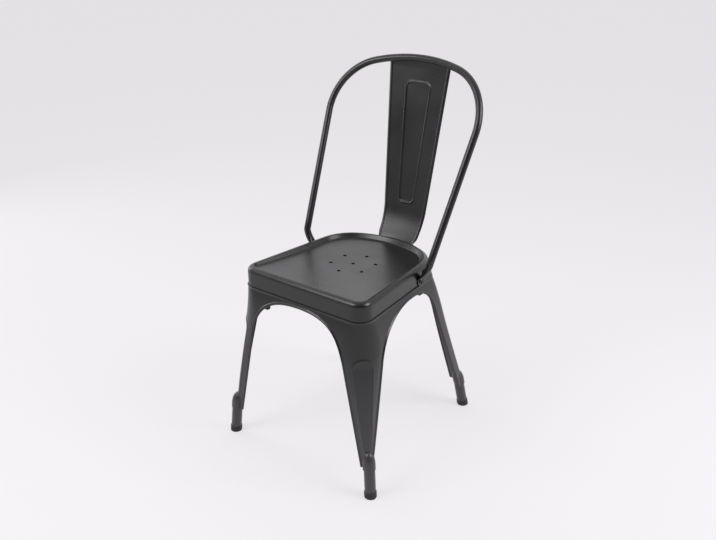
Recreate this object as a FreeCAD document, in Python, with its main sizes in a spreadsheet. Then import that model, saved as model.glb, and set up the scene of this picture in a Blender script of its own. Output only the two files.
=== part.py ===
import FreeCAD, Part
import Sketcher
import math
import os

# Stacking bistro chair of pressed and painted sheet steel with a bent tube back.
# Millimetres. +Z is up, the floor is Z = 0 and the person faces -Y.
# The origin lies on the floor under the middle of the whole chair's bounding box.

doc = FreeCAD.newDocument("bistro_chair")
Vector = FreeCAD.Vector

# Cutting blocks reach this far from the middle, past the chair on every side
SPAN = 500

# Driving dimensions
SIZES = [
    ("sheet_thickness", 1.5),
    ("fit_gap", 0.3),
    ("seat_front", 202.5),
    ("seat_rear", 145.3),
    ("seat_half_front", 171.7),
    ("seat_half_rear", 136.8),
    ("seat_front_radius", 31.3),
    ("seat_rear_corner_radius", 98),
    ("seat_rear_radius", 210),
    ("rim_height", 432),
    ("seam_height", 388),
    ("rim_roll_radius", 12),
    ("rim_crest_width", 1.5),
    ("rim_slope_width", 8.5),
    ("rim_slope_drop", 12),
    ("dish_low_height", 418.5),
    ("dish_radius", 3000),
    ("slope_sheet_side_share", 0.4),
    ("slope_sheet_down_share", 0.6),
    ("drain_hole_diameter", 8),
    ("drain_ring_radius", 51),
    ("drain_ring_y", -19.5),
    ("apron_outset", 1.2),
    ("leg_bottom_height", 66),
    ("leg_front_half_floor", 203.3),
    ("leg_front_half_lean", 0.05),
    ("leg_front_reach_floor", 224.6),
    ("leg_front_reach_lean", 0.02),
    ("leg_rear_half_floor", 180.4),
    ("leg_rear_half_lean", 0.093),
    ("leg_rear_reach_floor", 221),
    ("leg_rear_reach_lean", 0.3135),
    ("tuck_start_height", 300),
    ("leg_front_radius_foot", 5),
    ("leg_rear_radius_foot", 6),
    ("leg_rear_radius_top", 30),
    ("front_radius_knee", 51),
    ("knee_height", 286),
    ("knee_radius_power", 1.3),
    ("rear_crown_fade", 70),
    ("rear_crown_floor", 0.0003),
    ("ledge_inset", 0.5),
    ("inner_flange_height", 22),
    ("ledge_height", 3),
    ("front_arch_top", 377),
    ("front_arch_shoulder_height", 286),
    ("front_arch_shoulder_half", 127.7),
    ("front_arch_lean", 0.218),
    ("front_arch_rise", 62),
    ("front_arch_crown", 88),
    ("rear_arch_top", 372),
    ("rear_arch_shoulder_height", 280),
    ("rear_arch_shoulder_half", 113),
    ("rear_arch_lean", 0.09),
    ("rear_arch_rise", 60),
    ("rear_arch_crown", 55),
    ("side_arch_top", 373),
    ("side_arch_top_y", -14.5),
    ("side_arch_front_height", 289),
    ("side_arch_front_y", -149),
    ("side_arch_front_lean", 0.2576),
    ("side_arch_rear_height", 315),
    ("side_arch_rear_y", 78.5),
    ("side_arch_rear_lean", 0.379),
    ("side_arch_rise", 50),
    ("side_arch_front_crown", 75),
    ("side_arch_rear_crown", 55),
    ("arch_cut_from_middle", 60),
    ("flute_low_height", 106),
    ("flute_high_height", 286),
    ("flute_low_width", 20),
    ("flute_high_width", 44),
    ("flute_low_depth", 2.5),
    ("flute_high_depth", 4.5),
    ("foot_tube_radius", 12.2),
    ("foot_tube_wall", 1.5),
    ("foot_tube_length", 82),
    ("foot_front_beside", 1.1),
    ("foot_front_behind", 1.2),
    ("foot_front_lean_x", 0.09),
    ("foot_front_lean_y", 0.06),
    ("foot_rear_beside", -10.7),
    ("foot_rear_behind", 13.8),
    ("foot_rear_lean_x", 0.09),
    ("foot_rear_lean_y", 0.2),
    ("glide_radius", 13.6),
    ("glide_height", 14),
    ("glide_floor", 4),
    ("glide_spare_below", 6),
    ("floor_block_side", 900),
    ("floor_block_depth", 20),
    ("hoop_tube_radius", 8),
    ("hoop_tube_wall", 1.2),
    ("hoop_bend_x", 175.8),
    ("hoop_bend_y", 23.1),
    ("hoop_bend_z", 441.3),
    ("hoop_corner_x", 210.7),
    ("hoop_corner_y", 190.9),
    ("hoop_corner_z", 804.9),
    ("hoop_top_y", 229),
    ("hoop_top_z", 841),
    ("hoop_top_radius", 345),
    ("neck_high_in", 4),
    ("neck_high_back", 1),
    ("neck_high_drop", 14),
    ("neck_high_wide", 8.8),
    ("neck_high_thin", 6.4),
    ("neck_low_in", 12),
    ("neck_low_back", 3),
    ("neck_low_drop", 26),
    ("neck_low_wide", 9.6),
    ("neck_low_thin", 3.36),
    ("tab_thickness", 3),
    ("tab_width", 20),
    ("tab_y", 28),
    ("tab_top", 406),
    ("tab_bottom", 389),
    ("side_bolt_height", 397.5),
    ("splat_thickness", 1.5),
    ("splat_tab_half", 46),
    ("splat_foot_half", 55),
    ("splat_foot_height", 434),
    ("splat_top_half", 82),
    ("splat_top_height", 826),
    ("splat_lean", 0.164),
    ("splat_tab_top", 416),
    ("splat_knee_height", 500),
    ("splat_knee_y", 183.6),
    ("splat_foot_back", 18.7),
    ("splat_crown_radius", 700),
    ("splat_bend_power", 1.4),
    ("splat_tab_bottom", 389),
    ("panel_low_height", 510),
    ("panel_high_height", 783),
    ("panel_low_half", 18.7),
    ("panel_high_half", 32.6),
    ("panel_corner_radius", 10),
    ("panel_depth", 0.9),
    ("splat_bolt_x", 30),
    ("splat_bolt_height", 402),
    ("bolt_shank_radius", 3),
    ("bolt_hole_radius", 3.3),
    ("bolt_head_radius", 4.6),
    ("bolt_head_height", 2.8),
    ("bolt_head_taper", 1.4),
    ("bolt_tail", 7),
    ("nut_radius", 5.8),
    ("nut_height", 4.8),
    ("brace_width", 24),
    ("brace_thickness", 3),
    ("brace_height", 352),
    ("brace_cross_y", -18),
    ("brace_angle", 46),
    ("brace_blank_length", 560),
    ("rivet_radius", 4),
    ("rivet_head_radius", 7),
    ("rivet_head_height", 2.5),
    ("bumper_length", 26),
    ("bumper_depth", 9),
    ("bumper_height", 20),
    ("front_bumper_x", 99),
    ("front_bumper_low", 351),
    ("side_bumper_y", 34),
    ("side_bumper_low", 353),
]

sheet = doc.addObject("Spreadsheet::Sheet", "sizes")
for row, (alias, number) in enumerate(SIZES, start=1):
    sheet.set(f"A{row}", alias)
    sheet.set(f"B{row}", str(number))
    sheet.setAlias(f"B{row}", alias)
doc.recompute()


def size(alias):
    return float(sheet.get(alias))


def unit(vector):
    return vector * (1.0 / vector.Length)


def add_shape(name, shape):
    item = doc.addObject("Part::Feature", name)
    item.Shape = shape
    return item


def mirror(source, name):
    item = doc.addObject("Part::Mirroring", name)
    item.Source = source
    item.Normal = Vector(1, 0, 0)
    item.Base = Vector(0, 0, 0)
    return item


def box(x0, x1, y0, y1, z0, z1):
    return Part.makeBox(x1 - x0, y1 - y0, z1 - z0, Vector(x0, y0, z0))


# Closed outline of the seat or of the legs at one height.
# A front line, two front corner arcs, two side lines, two rear corner arcs and one wide rear arc.
def outline(front, rear, half_front, half_rear, front_radius, corner_radius, rear_radius, inset, z):
    taper = (half_front - half_rear) / (front + rear)
    normal = unit(Vector(1, taper, 0))
    along = Vector(-normal.y, normal.x, 0)
    side = normal.dot(Vector(half_front, -front, 0))
    front_y = -front + front_radius
    front_centre = Vector((side - front_radius - normal.y * front_y) / normal.x, front_y, 0)
    rear_centre = Vector(0, rear - rear_radius, 0)
    base = normal * (side - corner_radius) - rear_centre
    half = base.dot(along)
    gap = base.dot(base) - (rear_radius - corner_radius) ** 2
    corner_centre = rear_centre + base + along * (math.sqrt(half * half - gap) - half)
    crown = unit(corner_centre - rear_centre)
    down = Vector(0, -1, 0)
    a = front_centre + down * (front_radius - inset)
    b = front_centre + normal * (front_radius - inset)
    ab = front_centre + unit(down + normal) * (front_radius - inset)
    c = corner_centre + normal * (corner_radius - inset)
    d = corner_centre + crown * (corner_radius - inset)
    cd = corner_centre + unit(normal + crown) * (corner_radius - inset)
    top = Vector(0, rear - inset, 0)
    right = [a, ab, b, c, cd, d]
    points = [Vector(p.x, p.y, z) for p in right]
    other = [Vector(-p.x, p.y, z) for p in right]
    top = Vector(top.x, top.y, z)
    edges = [
        Part.LineSegment(other[0], points[0]).toShape(),
        Part.Arc(points[0], points[1], points[2]).toShape(),
        Part.LineSegment(points[2], points[3]).toShape(),
        Part.Arc(points[3], points[4], points[5]).toShape(),
        Part.Arc(points[5], top, other[5]).toShape(),
        Part.Arc(other[5], other[4], other[3]).toShape(),
        Part.LineSegment(other[3], other[2]).toShape(),
        Part.Arc(other[2], other[1], other[0]).toShape(),
    ]
    return Part.Wire(edges)


def seat_outline(inset, z):
    return outline(
        size("seat_front"), size("seat_rear"), size("seat_half_front"), size("seat_half_rear"),
        size("seat_front_radius"), size("seat_rear_corner_radius"), size("seat_rear_radius"),
        inset, z)


def prism(wire, height):
    return Part.Face(wire).extrude(Vector(0, 0, height))


# The outer form of the legs and aprons grows outwards towards the floor.
def leg_outline(z, inset):
    seam = size("seam_height")
    rise = max(0.0, (z - size("tuck_start_height")) / (seam - size("tuck_start_height")))
    tuck = rise ** 2
    outset = size("apron_outset")
    top = {
        "front": size("seat_front") + outset,
        "rear": size("seat_rear") + outset,
        "half_front": size("seat_half_front") + outset,
        "half_rear": size("seat_half_rear") + outset,
    }
    floor = {
        "front": ("leg_front_reach_floor", "leg_front_reach_lean"),
        "rear": ("leg_rear_reach_floor", "leg_rear_reach_lean"),
        "half_front": ("leg_front_half_floor", "leg_front_half_lean"),
        "half_rear": ("leg_rear_half_floor", "leg_rear_half_lean"),
    }
    flat = size("rear_crown_floor")
    full_crown = 1 / (size("seat_rear_radius") + outset) - flat
    crown = flat + full_crown * math.exp((z - seam) / size("rear_crown_fade"))
    reach = {}
    for key, (foot, lean) in floor.items():
        line = size(foot) - size(lean) * z
        line_at_seam = size(foot) - size(lean) * seam
        if key == "rear":
            half = size("leg_rear_half_floor") - size("leg_rear_half_lean") * z
            half_at_seam = size("leg_rear_half_floor") - size("leg_rear_half_lean") * seam
            line += crown * half ** 2 / 2
            line_at_seam += (flat + full_crown) * half_at_seam ** 2 / 2
        reach[key] = line + tuck * (top[key] - line_at_seam)
    low = size("leg_bottom_height")
    knee = (z - low) / (size("knee_height") - low)
    knee_at_seam = (seam - low) / (size("knee_height") - low)
    power = size("knee_radius_power")
    foot_radius = size("leg_front_radius_foot")
    swell = size("front_radius_knee") - foot_radius
    straight_radius = foot_radius + swell * knee ** power
    seam_radius = foot_radius + swell * knee_at_seam ** power
    front_radius = straight_radius + tuck * (size("seat_front_radius") + outset - seam_radius)
    part_way = (z - low) / (seam - low)
    rear_foot = size("leg_rear_radius_foot")
    corner_radius = rear_foot + (size("leg_rear_radius_top") - rear_foot) * part_way
    rear_radius = 1 / crown
    return outline(
        reach["front"], reach["rear"], reach["half_front"], reach["half_rear"],
        front_radius, corner_radius, rear_radius, inset, z)


def leg_form(inset):
    low = size("leg_bottom_height")
    high = size("seam_height")
    steps = 8
    wires = [leg_outline(low + (high - low) * step / steps, inset) for step in range(steps + 1)]
    return Part.makeLoft(wires, True, False)


# Seat pan: one pressing with a rolled raised rim, a sloping inner rim wall and a shallow dish
def seat_block(inset, drop):
    rim = size("rim_height")
    seam = size("seam_height")
    block = prism(seat_outline(inset, seam), rim - drop - seam)
    edges = [edge for edge in block.Edges if edge.BoundBox.ZMin > rim - drop - 0.01]
    block = block.makeFillet(size("rim_roll_radius") - inset, edges)
    aside = drop * size("slope_sheet_side_share")
    down = drop * size("slope_sheet_down_share")
    crest = size("rim_roll_radius") + size("rim_crest_width")
    slope_low = rim - size("rim_slope_drop") - down
    well_low = size("dish_low_height") - 20
    crest_line = seat_outline(crest - aside, rim - down)
    slope_line = seat_outline(crest + size("rim_slope_width") - aside, slope_low)
    well_line = seat_outline(crest + size("rim_slope_width") - aside, well_low)
    recess = Part.makeLoft([crest_line, slope_line], True, True)
    recess = recess.fuse([prism(crest_line, 20), prism(well_line, slope_low - well_low)])
    ball_centre = Vector(0, size("drain_ring_y"), size("dish_low_height") + size("dish_radius") - drop)
    return block.cut(recess.common(Part.makeSphere(size("dish_radius"), ball_centre)))


seat_shape = seat_block(0, 0).cut(seat_block(size("sheet_thickness"), size("sheet_thickness")))
# Six drain holes in a ring and one in its middle
drain_spots = [Vector(0, size("drain_ring_y"), 0)]
for turn in range(30, 390, 60):
    way = Vector(math.cos(math.radians(turn)), math.sin(math.radians(turn)), 0)
    drain_spots.append(drain_spots[0] + way * size("drain_ring_radius"))
for spot in drain_spots:
    seat_shape = seat_shape.cut(
        Part.makeCylinder(size("drain_hole_diameter") / 2, SPAN, spot))

# Legs and aprons: one flared sheet form, opened by arches on all four sides and parted into four legs
sheet_t = size("sheet_thickness")
outer_form = leg_form(0)
inner_form = leg_form(sheet_t)
shell = outer_form.cut(inner_form)
gap = size("fit_gap")
seam = size("seam_height")
ledge_low = seam - size("ledge_height")
ledge = prism(leg_outline(seam, size("ledge_inset")), size("ledge_height"))
ledge.translate(Vector(0, 0, -size("ledge_height")))
ledge = ledge.cut(prism(seat_outline(sheet_t * 2 + gap, ledge_low), size("ledge_height")))
flange = prism(seat_outline(sheet_t + gap, seam - 1), size("inner_flange_height") + 1)
flange = flange.cut(prism(seat_outline(sheet_t * 2 + gap, seam - 1), size("inner_flange_height") + 1))
# Behind the hoop tabs the rear legs rise outside the seat wall and close onto it
shoulder_top = size("rim_height") - size("rim_roll_radius") - 1
shoulder = Part.makeLoft(
    [leg_outline(seam, 0), seat_outline(-gap - sheet_t, shoulder_top)], True, True)
shoulder = shoulder.cut(prism(seat_outline(-gap, seam), size("rim_height") - seam))
shoulder = shoulder.cut(Part.makeLoft(
    [leg_outline(seam, sheet_t), seat_outline(gap, shoulder_top)], True, True))
behind_tab = size("tab_y") + size("tab_width") / 2 + 2
shoulder = shoulder.common(box(-SPAN, SPAN, behind_tab, SPAN, 0, SPAN))
shoulder = shoulder.cut(box(-size("splat_foot_half"), size("splat_foot_half"), 0, SPAN, 0, SPAN))
shell = shell.fuse([ledge, flange, shoulder])


def bezier(points):
    curve = Part.BezierCurve()
    curve.setPoles(points)
    return curve.toShape()


def line(a, b):
    return Part.LineSegment(a, b).toShape()


# Arch over the gap between two legs, straight leg edges below and a curve above
def arch(left, right, top, apex, lift, reach, place):
    (left_at, left_height, left_lean) = left
    (right_at, right_height, right_lean) = right
    below = -size("floor_block_depth")
    left_slope = unit(Vector(-left_lean, -1, 0))
    right_slope = unit(Vector(right_lean, -1, 0))
    start = Vector(left_at, left_height, 0)
    end = Vector(right_at, right_height, 0)
    foot_left = start + left_slope * ((left_height - below) / -left_slope.y)
    foot_right = end + right_slope * ((right_height - below) / -right_slope.y)
    peak = Vector(apex, top, 0)
    points = [foot_left, start, start - left_slope * lift, peak - Vector(reach[0], 0, 0), peak,
              peak + Vector(reach[1], 0, 0), end - right_slope * lift, end, foot_right]
    spots = [place(p) for p in points]
    return Part.Face(Part.Wire([
        line(spots[0], spots[1]),
        bezier(spots[1:5]),
        bezier(spots[4:8]),
        line(spots[7], spots[8]),
        line(spots[8], spots[0]),
    ]))


cut_start = size("arch_cut_from_middle")
front_edge = (size("front_arch_shoulder_half"), size("front_arch_shoulder_height"), size("front_arch_lean"))
front_gap = arch(
    (-front_edge[0], front_edge[1], front_edge[2]), front_edge, size("front_arch_top"), 0,
    size("front_arch_rise"), (size("front_arch_crown"), size("front_arch_crown")),
    lambda p: Vector(p.x, -SPAN, p.y)).extrude(Vector(0, SPAN - cut_start, 0))
rear_edge = (size("rear_arch_shoulder_half"), size("rear_arch_shoulder_height"), size("rear_arch_lean"))
rear_gap = arch(
    (-rear_edge[0], rear_edge[1], rear_edge[2]), rear_edge, size("rear_arch_top"), 0,
    size("rear_arch_rise"), (size("rear_arch_crown"), size("rear_arch_crown")),
    lambda p: Vector(p.x, cut_start, p.y)).extrude(Vector(0, SPAN - cut_start, 0))
side_gap = arch(
    (size("side_arch_front_y"), size("side_arch_front_height"), size("side_arch_front_lean")),
    (size("side_arch_rear_y"), size("side_arch_rear_height"), size("side_arch_rear_lean")),
    size("side_arch_top"), size("side_arch_top_y"),
    size("side_arch_rise"), (size("side_arch_front_crown"), size("side_arch_rear_crown")),
    lambda p: Vector(-SPAN, p.x, p.y)).extrude(Vector(2 * SPAN, 0, 0))
shell = shell.cut(front_gap).cut(rear_gap).cut(side_gap)


def bolt_direction_side():
    taper = (size("seat_half_front") - size("seat_half_rear")) / (size("seat_front") + size("seat_rear"))
    return unit(Vector(1, taper, 0))


def side_wall_point(y, z):
    taper = (size("seat_half_front") - size("seat_half_rear")) / (size("seat_front") + size("seat_rear"))
    return Vector(size("seat_half_front") - taper * (y + size("seat_front")), y, z)


def rear_wall_point(x, z):
    centre_y = size("seat_rear") - size("seat_rear_radius")
    return Vector(x, centre_y + math.sqrt(size("seat_rear_radius") ** 2 - x * x), z)


side_out = bolt_direction_side()
side_point = side_wall_point(size("tab_y"), size("side_bolt_height"))
rear_point = rear_wall_point(size("splat_bolt_x"), size("splat_bolt_height"))
rear_out = unit(rear_point - Vector(0, size("seat_rear") - size("seat_rear_radius"), rear_point.z))


def bore(point, out):
    length = 4 * size("tab_width")
    return Part.makeCylinder(size("bolt_hole_radius"), length / 2, point - out * (length / 4), out)


def flip(vector):
    return Vector(-vector.x, vector.y, vector.z)


bores = [
    bore(side_point, side_out), bore(flip(side_point), flip(side_out)),
    bore(rear_point, rear_out), bore(flip(rear_point), flip(rear_out)),
]
for tool in bores:
    shell = shell.cut(tool)
    seat_shape = seat_shape.cut(tool)
add_shape("seat_pan", seat_shape)


# Tapered hollow pressed into the rounded corner of a front leg, round at both ends
def flute(extra):
    tools = []
    spots = []
    for key in ("low", "high"):
        height = size(f"flute_{key}_height")
        half_width = size(f"flute_{key}_width") / 2
        depth = size(f"flute_{key}_depth")
        radius = (half_width ** 2 + depth ** 2) / (2 * depth)
        wire = leg_outline(height, 0)
        corner = wire.Edges[1]
        middle = corner.valueAt((corner.FirstParameter + corner.LastParameter) / 2)
        out = unit(Vector(1, -1, 0))
        centre = middle + out * (radius - depth)
        spots.append((centre, radius + extra))
        tools.append(Part.makeSphere(radius + extra, centre))
    (low, low_radius), (high, high_radius) = spots
    tools.append(Part.makeCone(low_radius, high_radius, (high - low).Length, low, high - low))
    return tools[0].fuse(tools[1:])


foot_axes = {}
for place in ("front", "rear"):
    sign = 1 if place == "front" else -1
    foot_x = size(f"leg_{place}_half_floor") + size(f"foot_{place}_beside")
    foot_y = size(f"leg_{place}_reach_floor") - size(f"foot_{place}_behind")
    foot = Vector(foot_x, -sign * foot_y, 0)
    lean = Vector(-size(f"foot_{place}_lean_x"), sign * size(f"foot_{place}_lean_y"), 1)
    foot_axes[place] = (foot, unit(lean))

part_y = size("side_arch_top_y")
quarter = {
    "front": box(0, SPAN, -SPAN, part_y, 0, SPAN),
    "rear": box(0, SPAN, part_y, SPAN, 0, SPAN),
}
for place in ("front", "rear"):
    leg = shell.common(quarter[place])
    if place == "front":
        bump = flute(sheet_t).common(inner_form)
        leg = leg.fuse(bump).cut(flute(0))
    foot, axis = foot_axes[place]
    low = size("leg_bottom_height") / axis.z
    high = size("foot_tube_length") + size("glide_floor")
    hollow_radius = size("foot_tube_radius") + gap
    sleeve_radius = hollow_radius + sheet_t
    sleeve = Part.makeCylinder(sleeve_radius, high - low, foot + axis * low, axis)
    sleeve = sleeve.fuse(Part.makeSphere(sleeve_radius, foot + axis * high))
    hollow = Part.makeCylinder(hollow_radius, high, foot, axis)
    hollow = hollow.fuse(Part.makeSphere(hollow_radius, foot + axis * high))
    leg = leg.fuse(sleeve).cut(hollow)
    solids = sorted(leg.Solids, key=lambda s: s.Volume)
    right_leg = add_shape(f"{place}_right_leg", solids[-1])
    mirror(right_leg, f"{place}_left_leg")

# Foot tubes and rubber glides
def turned(target, foot, axis, shift):
    rotation = FreeCAD.Rotation(Vector(0, 0, 1), axis)
    target.Placement = FreeCAD.Placement(foot + axis * shift, rotation)


def profile(body, name, points):
    sketch = body.newObject("Sketcher::SketchObject", name)
    plane = [f for f in body.Origin.OriginFeatures if f.Role == "XZ_Plane"][0]
    sketch.AttachmentSupport = [(plane, "")]
    sketch.MapMode = "FlatFace"
    numbers = []
    for horizontal, vertical in points:
        numbers.append((value_of(horizontal), value_of(vertical)))
    count = len(points)
    for index in range(count):
        a = numbers[index]
        b = numbers[(index + 1) % count]
        sketch.addGeometry(Part.LineSegment(Vector(a[0], a[1], 0), Vector(b[0], b[1], 0)), False)
    for index in range(count):
        sketch.addConstraint(Sketcher.Constraint("Coincident", index, 2, (index + 1) % count, 1))
    for index, (horizontal, vertical) in enumerate(points):
        for kind, axis, rule, number in (
            ("DistanceX", -2, horizontal, numbers[index][0]),
            ("DistanceY", -1, vertical, numbers[index][1]),
        ):
            if rule == "0":
                sketch.addConstraint(Sketcher.Constraint("PointOnObject", index, 1, axis))
            else:
                which = sketch.addConstraint(Sketcher.Constraint(kind, -1, 1, index, 1, number))
                sketch.setExpression(f"Constraints[{which}]", rule)
    return sketch


def value_of(rule):
    total = 0.0
    for term in rule.split("+"):
        term = term.strip()
        product = 1.0
        for factor in term.split("*"):
            factor = factor.strip()
            product *= size(factor[6:]) if factor.startswith("sizes.") else float(factor)
        total += product
    return total


def turned_body(name, points):
    body = doc.addObject("PartDesign::Body", name)
    sketch = profile(body, f"{name}_profile", points)
    doc.recompute()
    spin = body.newObject("PartDesign::Revolution", f"{name}_turned")
    spin.Profile = sketch
    spin.ReferenceAxis = (sketch, ["V_Axis"])
    spin.Angle = 360
    sketch.Visibility = False
    body.Tip = spin
    doc.recompute()
    return body


floor_cut = doc.addObject("Part::Box", "below_floor")
floor_cut.setExpression("Length", "sizes.floor_block_side")
floor_cut.setExpression("Width", "sizes.floor_block_side")
floor_cut.setExpression("Height", "sizes.floor_block_depth")
floor_cut.Placement = FreeCAD.Placement(
    Vector(-size("floor_block_side") / 2, -size("floor_block_side") / 2, -size("floor_block_depth")),
    FreeCAD.Rotation())

for place in ("front", "rear"):
    foot, axis = foot_axes[place]
    outer = doc.addObject("Part::Cylinder", f"{place}_tube_outside")
    outer.setExpression("Radius", "sizes.foot_tube_radius")
    outer.setExpression("Height", "sizes.foot_tube_length")
    inner = doc.addObject("Part::Cylinder", f"{place}_tube_inside")
    inner.setExpression("Radius", "sizes.foot_tube_radius - sizes.foot_tube_wall")
    inner.setExpression("Height", "sizes.foot_tube_length")
    tilt_drop = size("foot_tube_radius") * math.sqrt(1 - axis.z ** 2) / axis.z
    start = size("glide_floor") + gap + tilt_drop
    turned(outer, foot, axis, start)
    turned(inner, foot, axis, start)
    tube = doc.addObject("Part::Cut", f"{place}_right_foot_tube")
    tube.Base = outer
    tube.Tool = inner
    mirror(tube, f"{place}_left_foot_tube")
    cup = turned_body(f"{place}_cup", [
        ("0", "-1*sizes.glide_spare_below"),
        ("sizes.glide_radius", "-1*sizes.glide_spare_below"),
        ("sizes.glide_radius", "sizes.glide_height"),
        ("sizes.foot_tube_radius + sizes.fit_gap", "sizes.glide_height"),
        ("sizes.foot_tube_radius + sizes.fit_gap", "sizes.glide_floor"),
        ("0", "sizes.glide_floor"),
    ])
    turned(cup, foot, axis, 0)
    glide = doc.addObject("Part::Cut", f"{place}_right_glide")
    glide.Base = cup
    glide.Tool = floor_cut
    mirror(glide, f"{place}_left_glide")

# Cross braces under the seat, meeting at one rivet
space = add_shape("space_between_legs", leg_form(sheet_t + gap))
space_for_b = add_shape("space_for_upper_brace", leg_form(sheet_t + gap))
rivet_spot = Vector(0, size("brace_cross_y"), size("brace_height"))
for name, turn, layer, room in (
    ("cross_brace_a", 1, 0, space), ("cross_brace_b", -1, 1, space_for_b),
):
    bar = doc.addObject("Part::Box", f"{name}_bar")
    bar.setExpression("Length", "sizes.brace_blank_length")
    bar.setExpression("Width", "sizes.brace_width")
    bar.setExpression("Height", "sizes.brace_thickness")
    rotation = FreeCAD.Rotation(Vector(0, 0, 1), turn * size("brace_angle"))
    offset = rotation.multVec(Vector(
        -size("brace_blank_length") / 2, -size("brace_width") / 2, layer * size("brace_thickness")))
    bar.Placement = FreeCAD.Placement(rivet_spot + offset, rotation)
    hole = doc.addObject("Part::Cylinder", f"{name}_hole")
    hole.setExpression("Radius", "sizes.rivet_radius + sizes.fit_gap")
    hole.setExpression("Height", "2*sizes.brace_width")
    hole.Placement = FreeCAD.Placement(rivet_spot - Vector(0, 0, size("brace_width")), FreeCAD.Rotation())
    drilled = doc.addObject("Part::Cut", f"{name}_drilled")
    drilled.Base = bar
    drilled.Tool = hole
    brace = doc.addObject("Part::Common", name)
    brace.Base = drilled
    brace.Tool = room

rivet = turned_body("brace_rivet", [
    ("0", "-1*sizes.rivet_head_height"),
    ("sizes.rivet_head_radius", "-1*sizes.rivet_head_height"),
    ("sizes.rivet_head_radius", "0"),
    ("sizes.rivet_radius", "0"),
    ("sizes.rivet_radius", "2*sizes.brace_thickness"),
    ("sizes.rivet_head_radius", "2*sizes.brace_thickness"),
    ("sizes.rivet_head_radius", "2*sizes.brace_thickness + sizes.rivet_head_height"),
    ("0", "2*sizes.brace_thickness + sizes.rivet_head_height"),
])
rivet.Placement = FreeCAD.Placement(rivet_spot, FreeCAD.Rotation())

# Rubber stacking bumpers against the inner faces of the aprons
bumper_room = leg_form(sheet_t + gap)
bumper_core = leg_form(sheet_t + gap + size("bumper_depth"))
band = bumper_room.cut(bumper_core)
length = size("bumper_length")
front_zone = box(
    size("front_bumper_x") - length / 2, size("front_bumper_x") + length / 2, -SPAN, 0,
    size("front_bumper_low"), size("front_bumper_low") + size("bumper_height"))
side_zone = box(
    0, SPAN, size("side_bumper_y") - length / 2, size("side_bumper_y") + length / 2,
    size("side_bumper_low"), size("side_bumper_low") + size("bumper_height"))
for place, zone in (("front", front_zone), ("side", side_zone)):
    bumper = add_shape(f"{place}_right_bumper", band.common(zone).Solids[0])
    mirror(bumper, f"{place}_left_bumper")

# Back hoop: one bent tube with flattened ends bolted to the sides of the seat
bend = Vector(size("hoop_bend_x"), size("hoop_bend_y"), size("hoop_bend_z"))
corner = Vector(size("hoop_corner_x"), size("hoop_corner_y"), size("hoop_corner_z"))
peak = Vector(0, size("hoop_top_y"), size("hoop_top_z"))
upward = unit(corner - bend)
fall = Vector(0, corner.y - peak.y, corner.z - peak.z)
drop = fall.Length
fall = unit(fall)
top_radius = size("hoop_top_radius")
reach_x = corner.x
tangent_length = math.sqrt(reach_x ** 2 + drop ** 2 - 2 * drop * top_radius)
away = math.hypot(reach_x, drop - top_radius)
open_angle = math.atan2(drop - top_radius, reach_x) - math.acos(top_radius / away)
touch_x = top_radius * math.cos(open_angle)
touch_fall = top_radius + top_radius * math.sin(open_angle)
touch = peak + Vector(touch_x, 0, 0) + fall * touch_fall
lower_touch = corner - upward * tangent_length
inward = unit(touch - corner)
corner_angle = math.acos(max(-1, min(1, (upward * -1).dot(inward))))
corner_radius = tangent_length * math.tan(corner_angle / 2)
middle_way = unit(inward - upward)
corner_middle = corner + middle_way * (corner_radius / math.sin(corner_angle / 2) - corner_radius)


def hoop_sweep(radius, start):
    first = bend + upward * start
    wire = Part.Wire([
        line(first, lower_touch),
        Part.Arc(lower_touch, corner_middle, touch).toShape(),
        Part.Arc(touch, peak, flip(touch)).toShape(),
        Part.Arc(flip(touch), flip(corner_middle), flip(lower_touch)).toShape(),
        line(flip(lower_touch), flip(first)),
    ])
    circle = Part.Wire([Part.Circle(first, upward, radius).toShape()])
    return wire.makePipeShell([circle], True, True)


def oval(centre, normal, wide_way, wide, thin):
    wide_way = unit(wide_way - normal * wide_way.dot(normal))
    thin_way = unit(normal.cross(wide_way))
    ellipse = Part.Ellipse(centre + wide_way * wide, centre + thin_way * thin, centre)
    return Part.Wire([ellipse.toShape()])


hoop = hoop_sweep(size("hoop_tube_radius"), 0).cut(
    hoop_sweep(size("hoop_tube_radius") - size("hoop_tube_wall"), 4))
tab_half = size("tab_thickness") / 2
tab_head = side_wall_point(size("tab_y"), size("tab_top")) + side_out * tab_half
along_wall = Vector(-side_out.y, side_out.x, 0)


def neck_spot(key):
    return bend + Vector(-size(f"neck_{key}_in"), size(f"neck_{key}_back"), -size(f"neck_{key}_drop"))


r = size("hoop_tube_radius")
sunk = size("hoop_tube_wall") / 3
neck = Part.makeLoft([
    oval(bend + upward, upward, along_wall, r - sunk, r - sunk - 0.01),
    oval(neck_spot("high"), unit(Vector(0.25, 0.1, 1)), along_wall,
         size("neck_high_wide"), size("neck_high_thin")),
    oval(neck_spot("low"), unit(Vector(0.7, 0, 1)), along_wall,
         size("neck_low_wide"), size("neck_low_thin")),
    oval(tab_head, Vector(0, 0, 1), along_wall, size("tab_width") / 2, tab_half),
], True, False)
tab_face = side_wall_point(size("tab_y"), size("tab_bottom") + size("tab_width") / 2)
plate = Part.makeCylinder(size("tab_width") / 2, size("tab_thickness"), tab_face, side_out)
slab_height = size("tab_top") - tab_face.z
slab = Part.makeBox(size("tab_thickness"), size("tab_width"), slab_height)
slab.Placement = FreeCAD.Placement(
    tab_face - along_wall * (size("tab_width") / 2), FreeCAD.Rotation(Vector(1, 0, 0), side_out))
end = neck.fuse([plate, slab])
other_end = end.mirror(Vector(0, 0, 0), Vector(1, 0, 0))
hoop = hoop.fuse([end, other_end])
hoop = hoop.cut(bores[0]).cut(bores[1])
add_shape("back_hoop", hoop)

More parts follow.
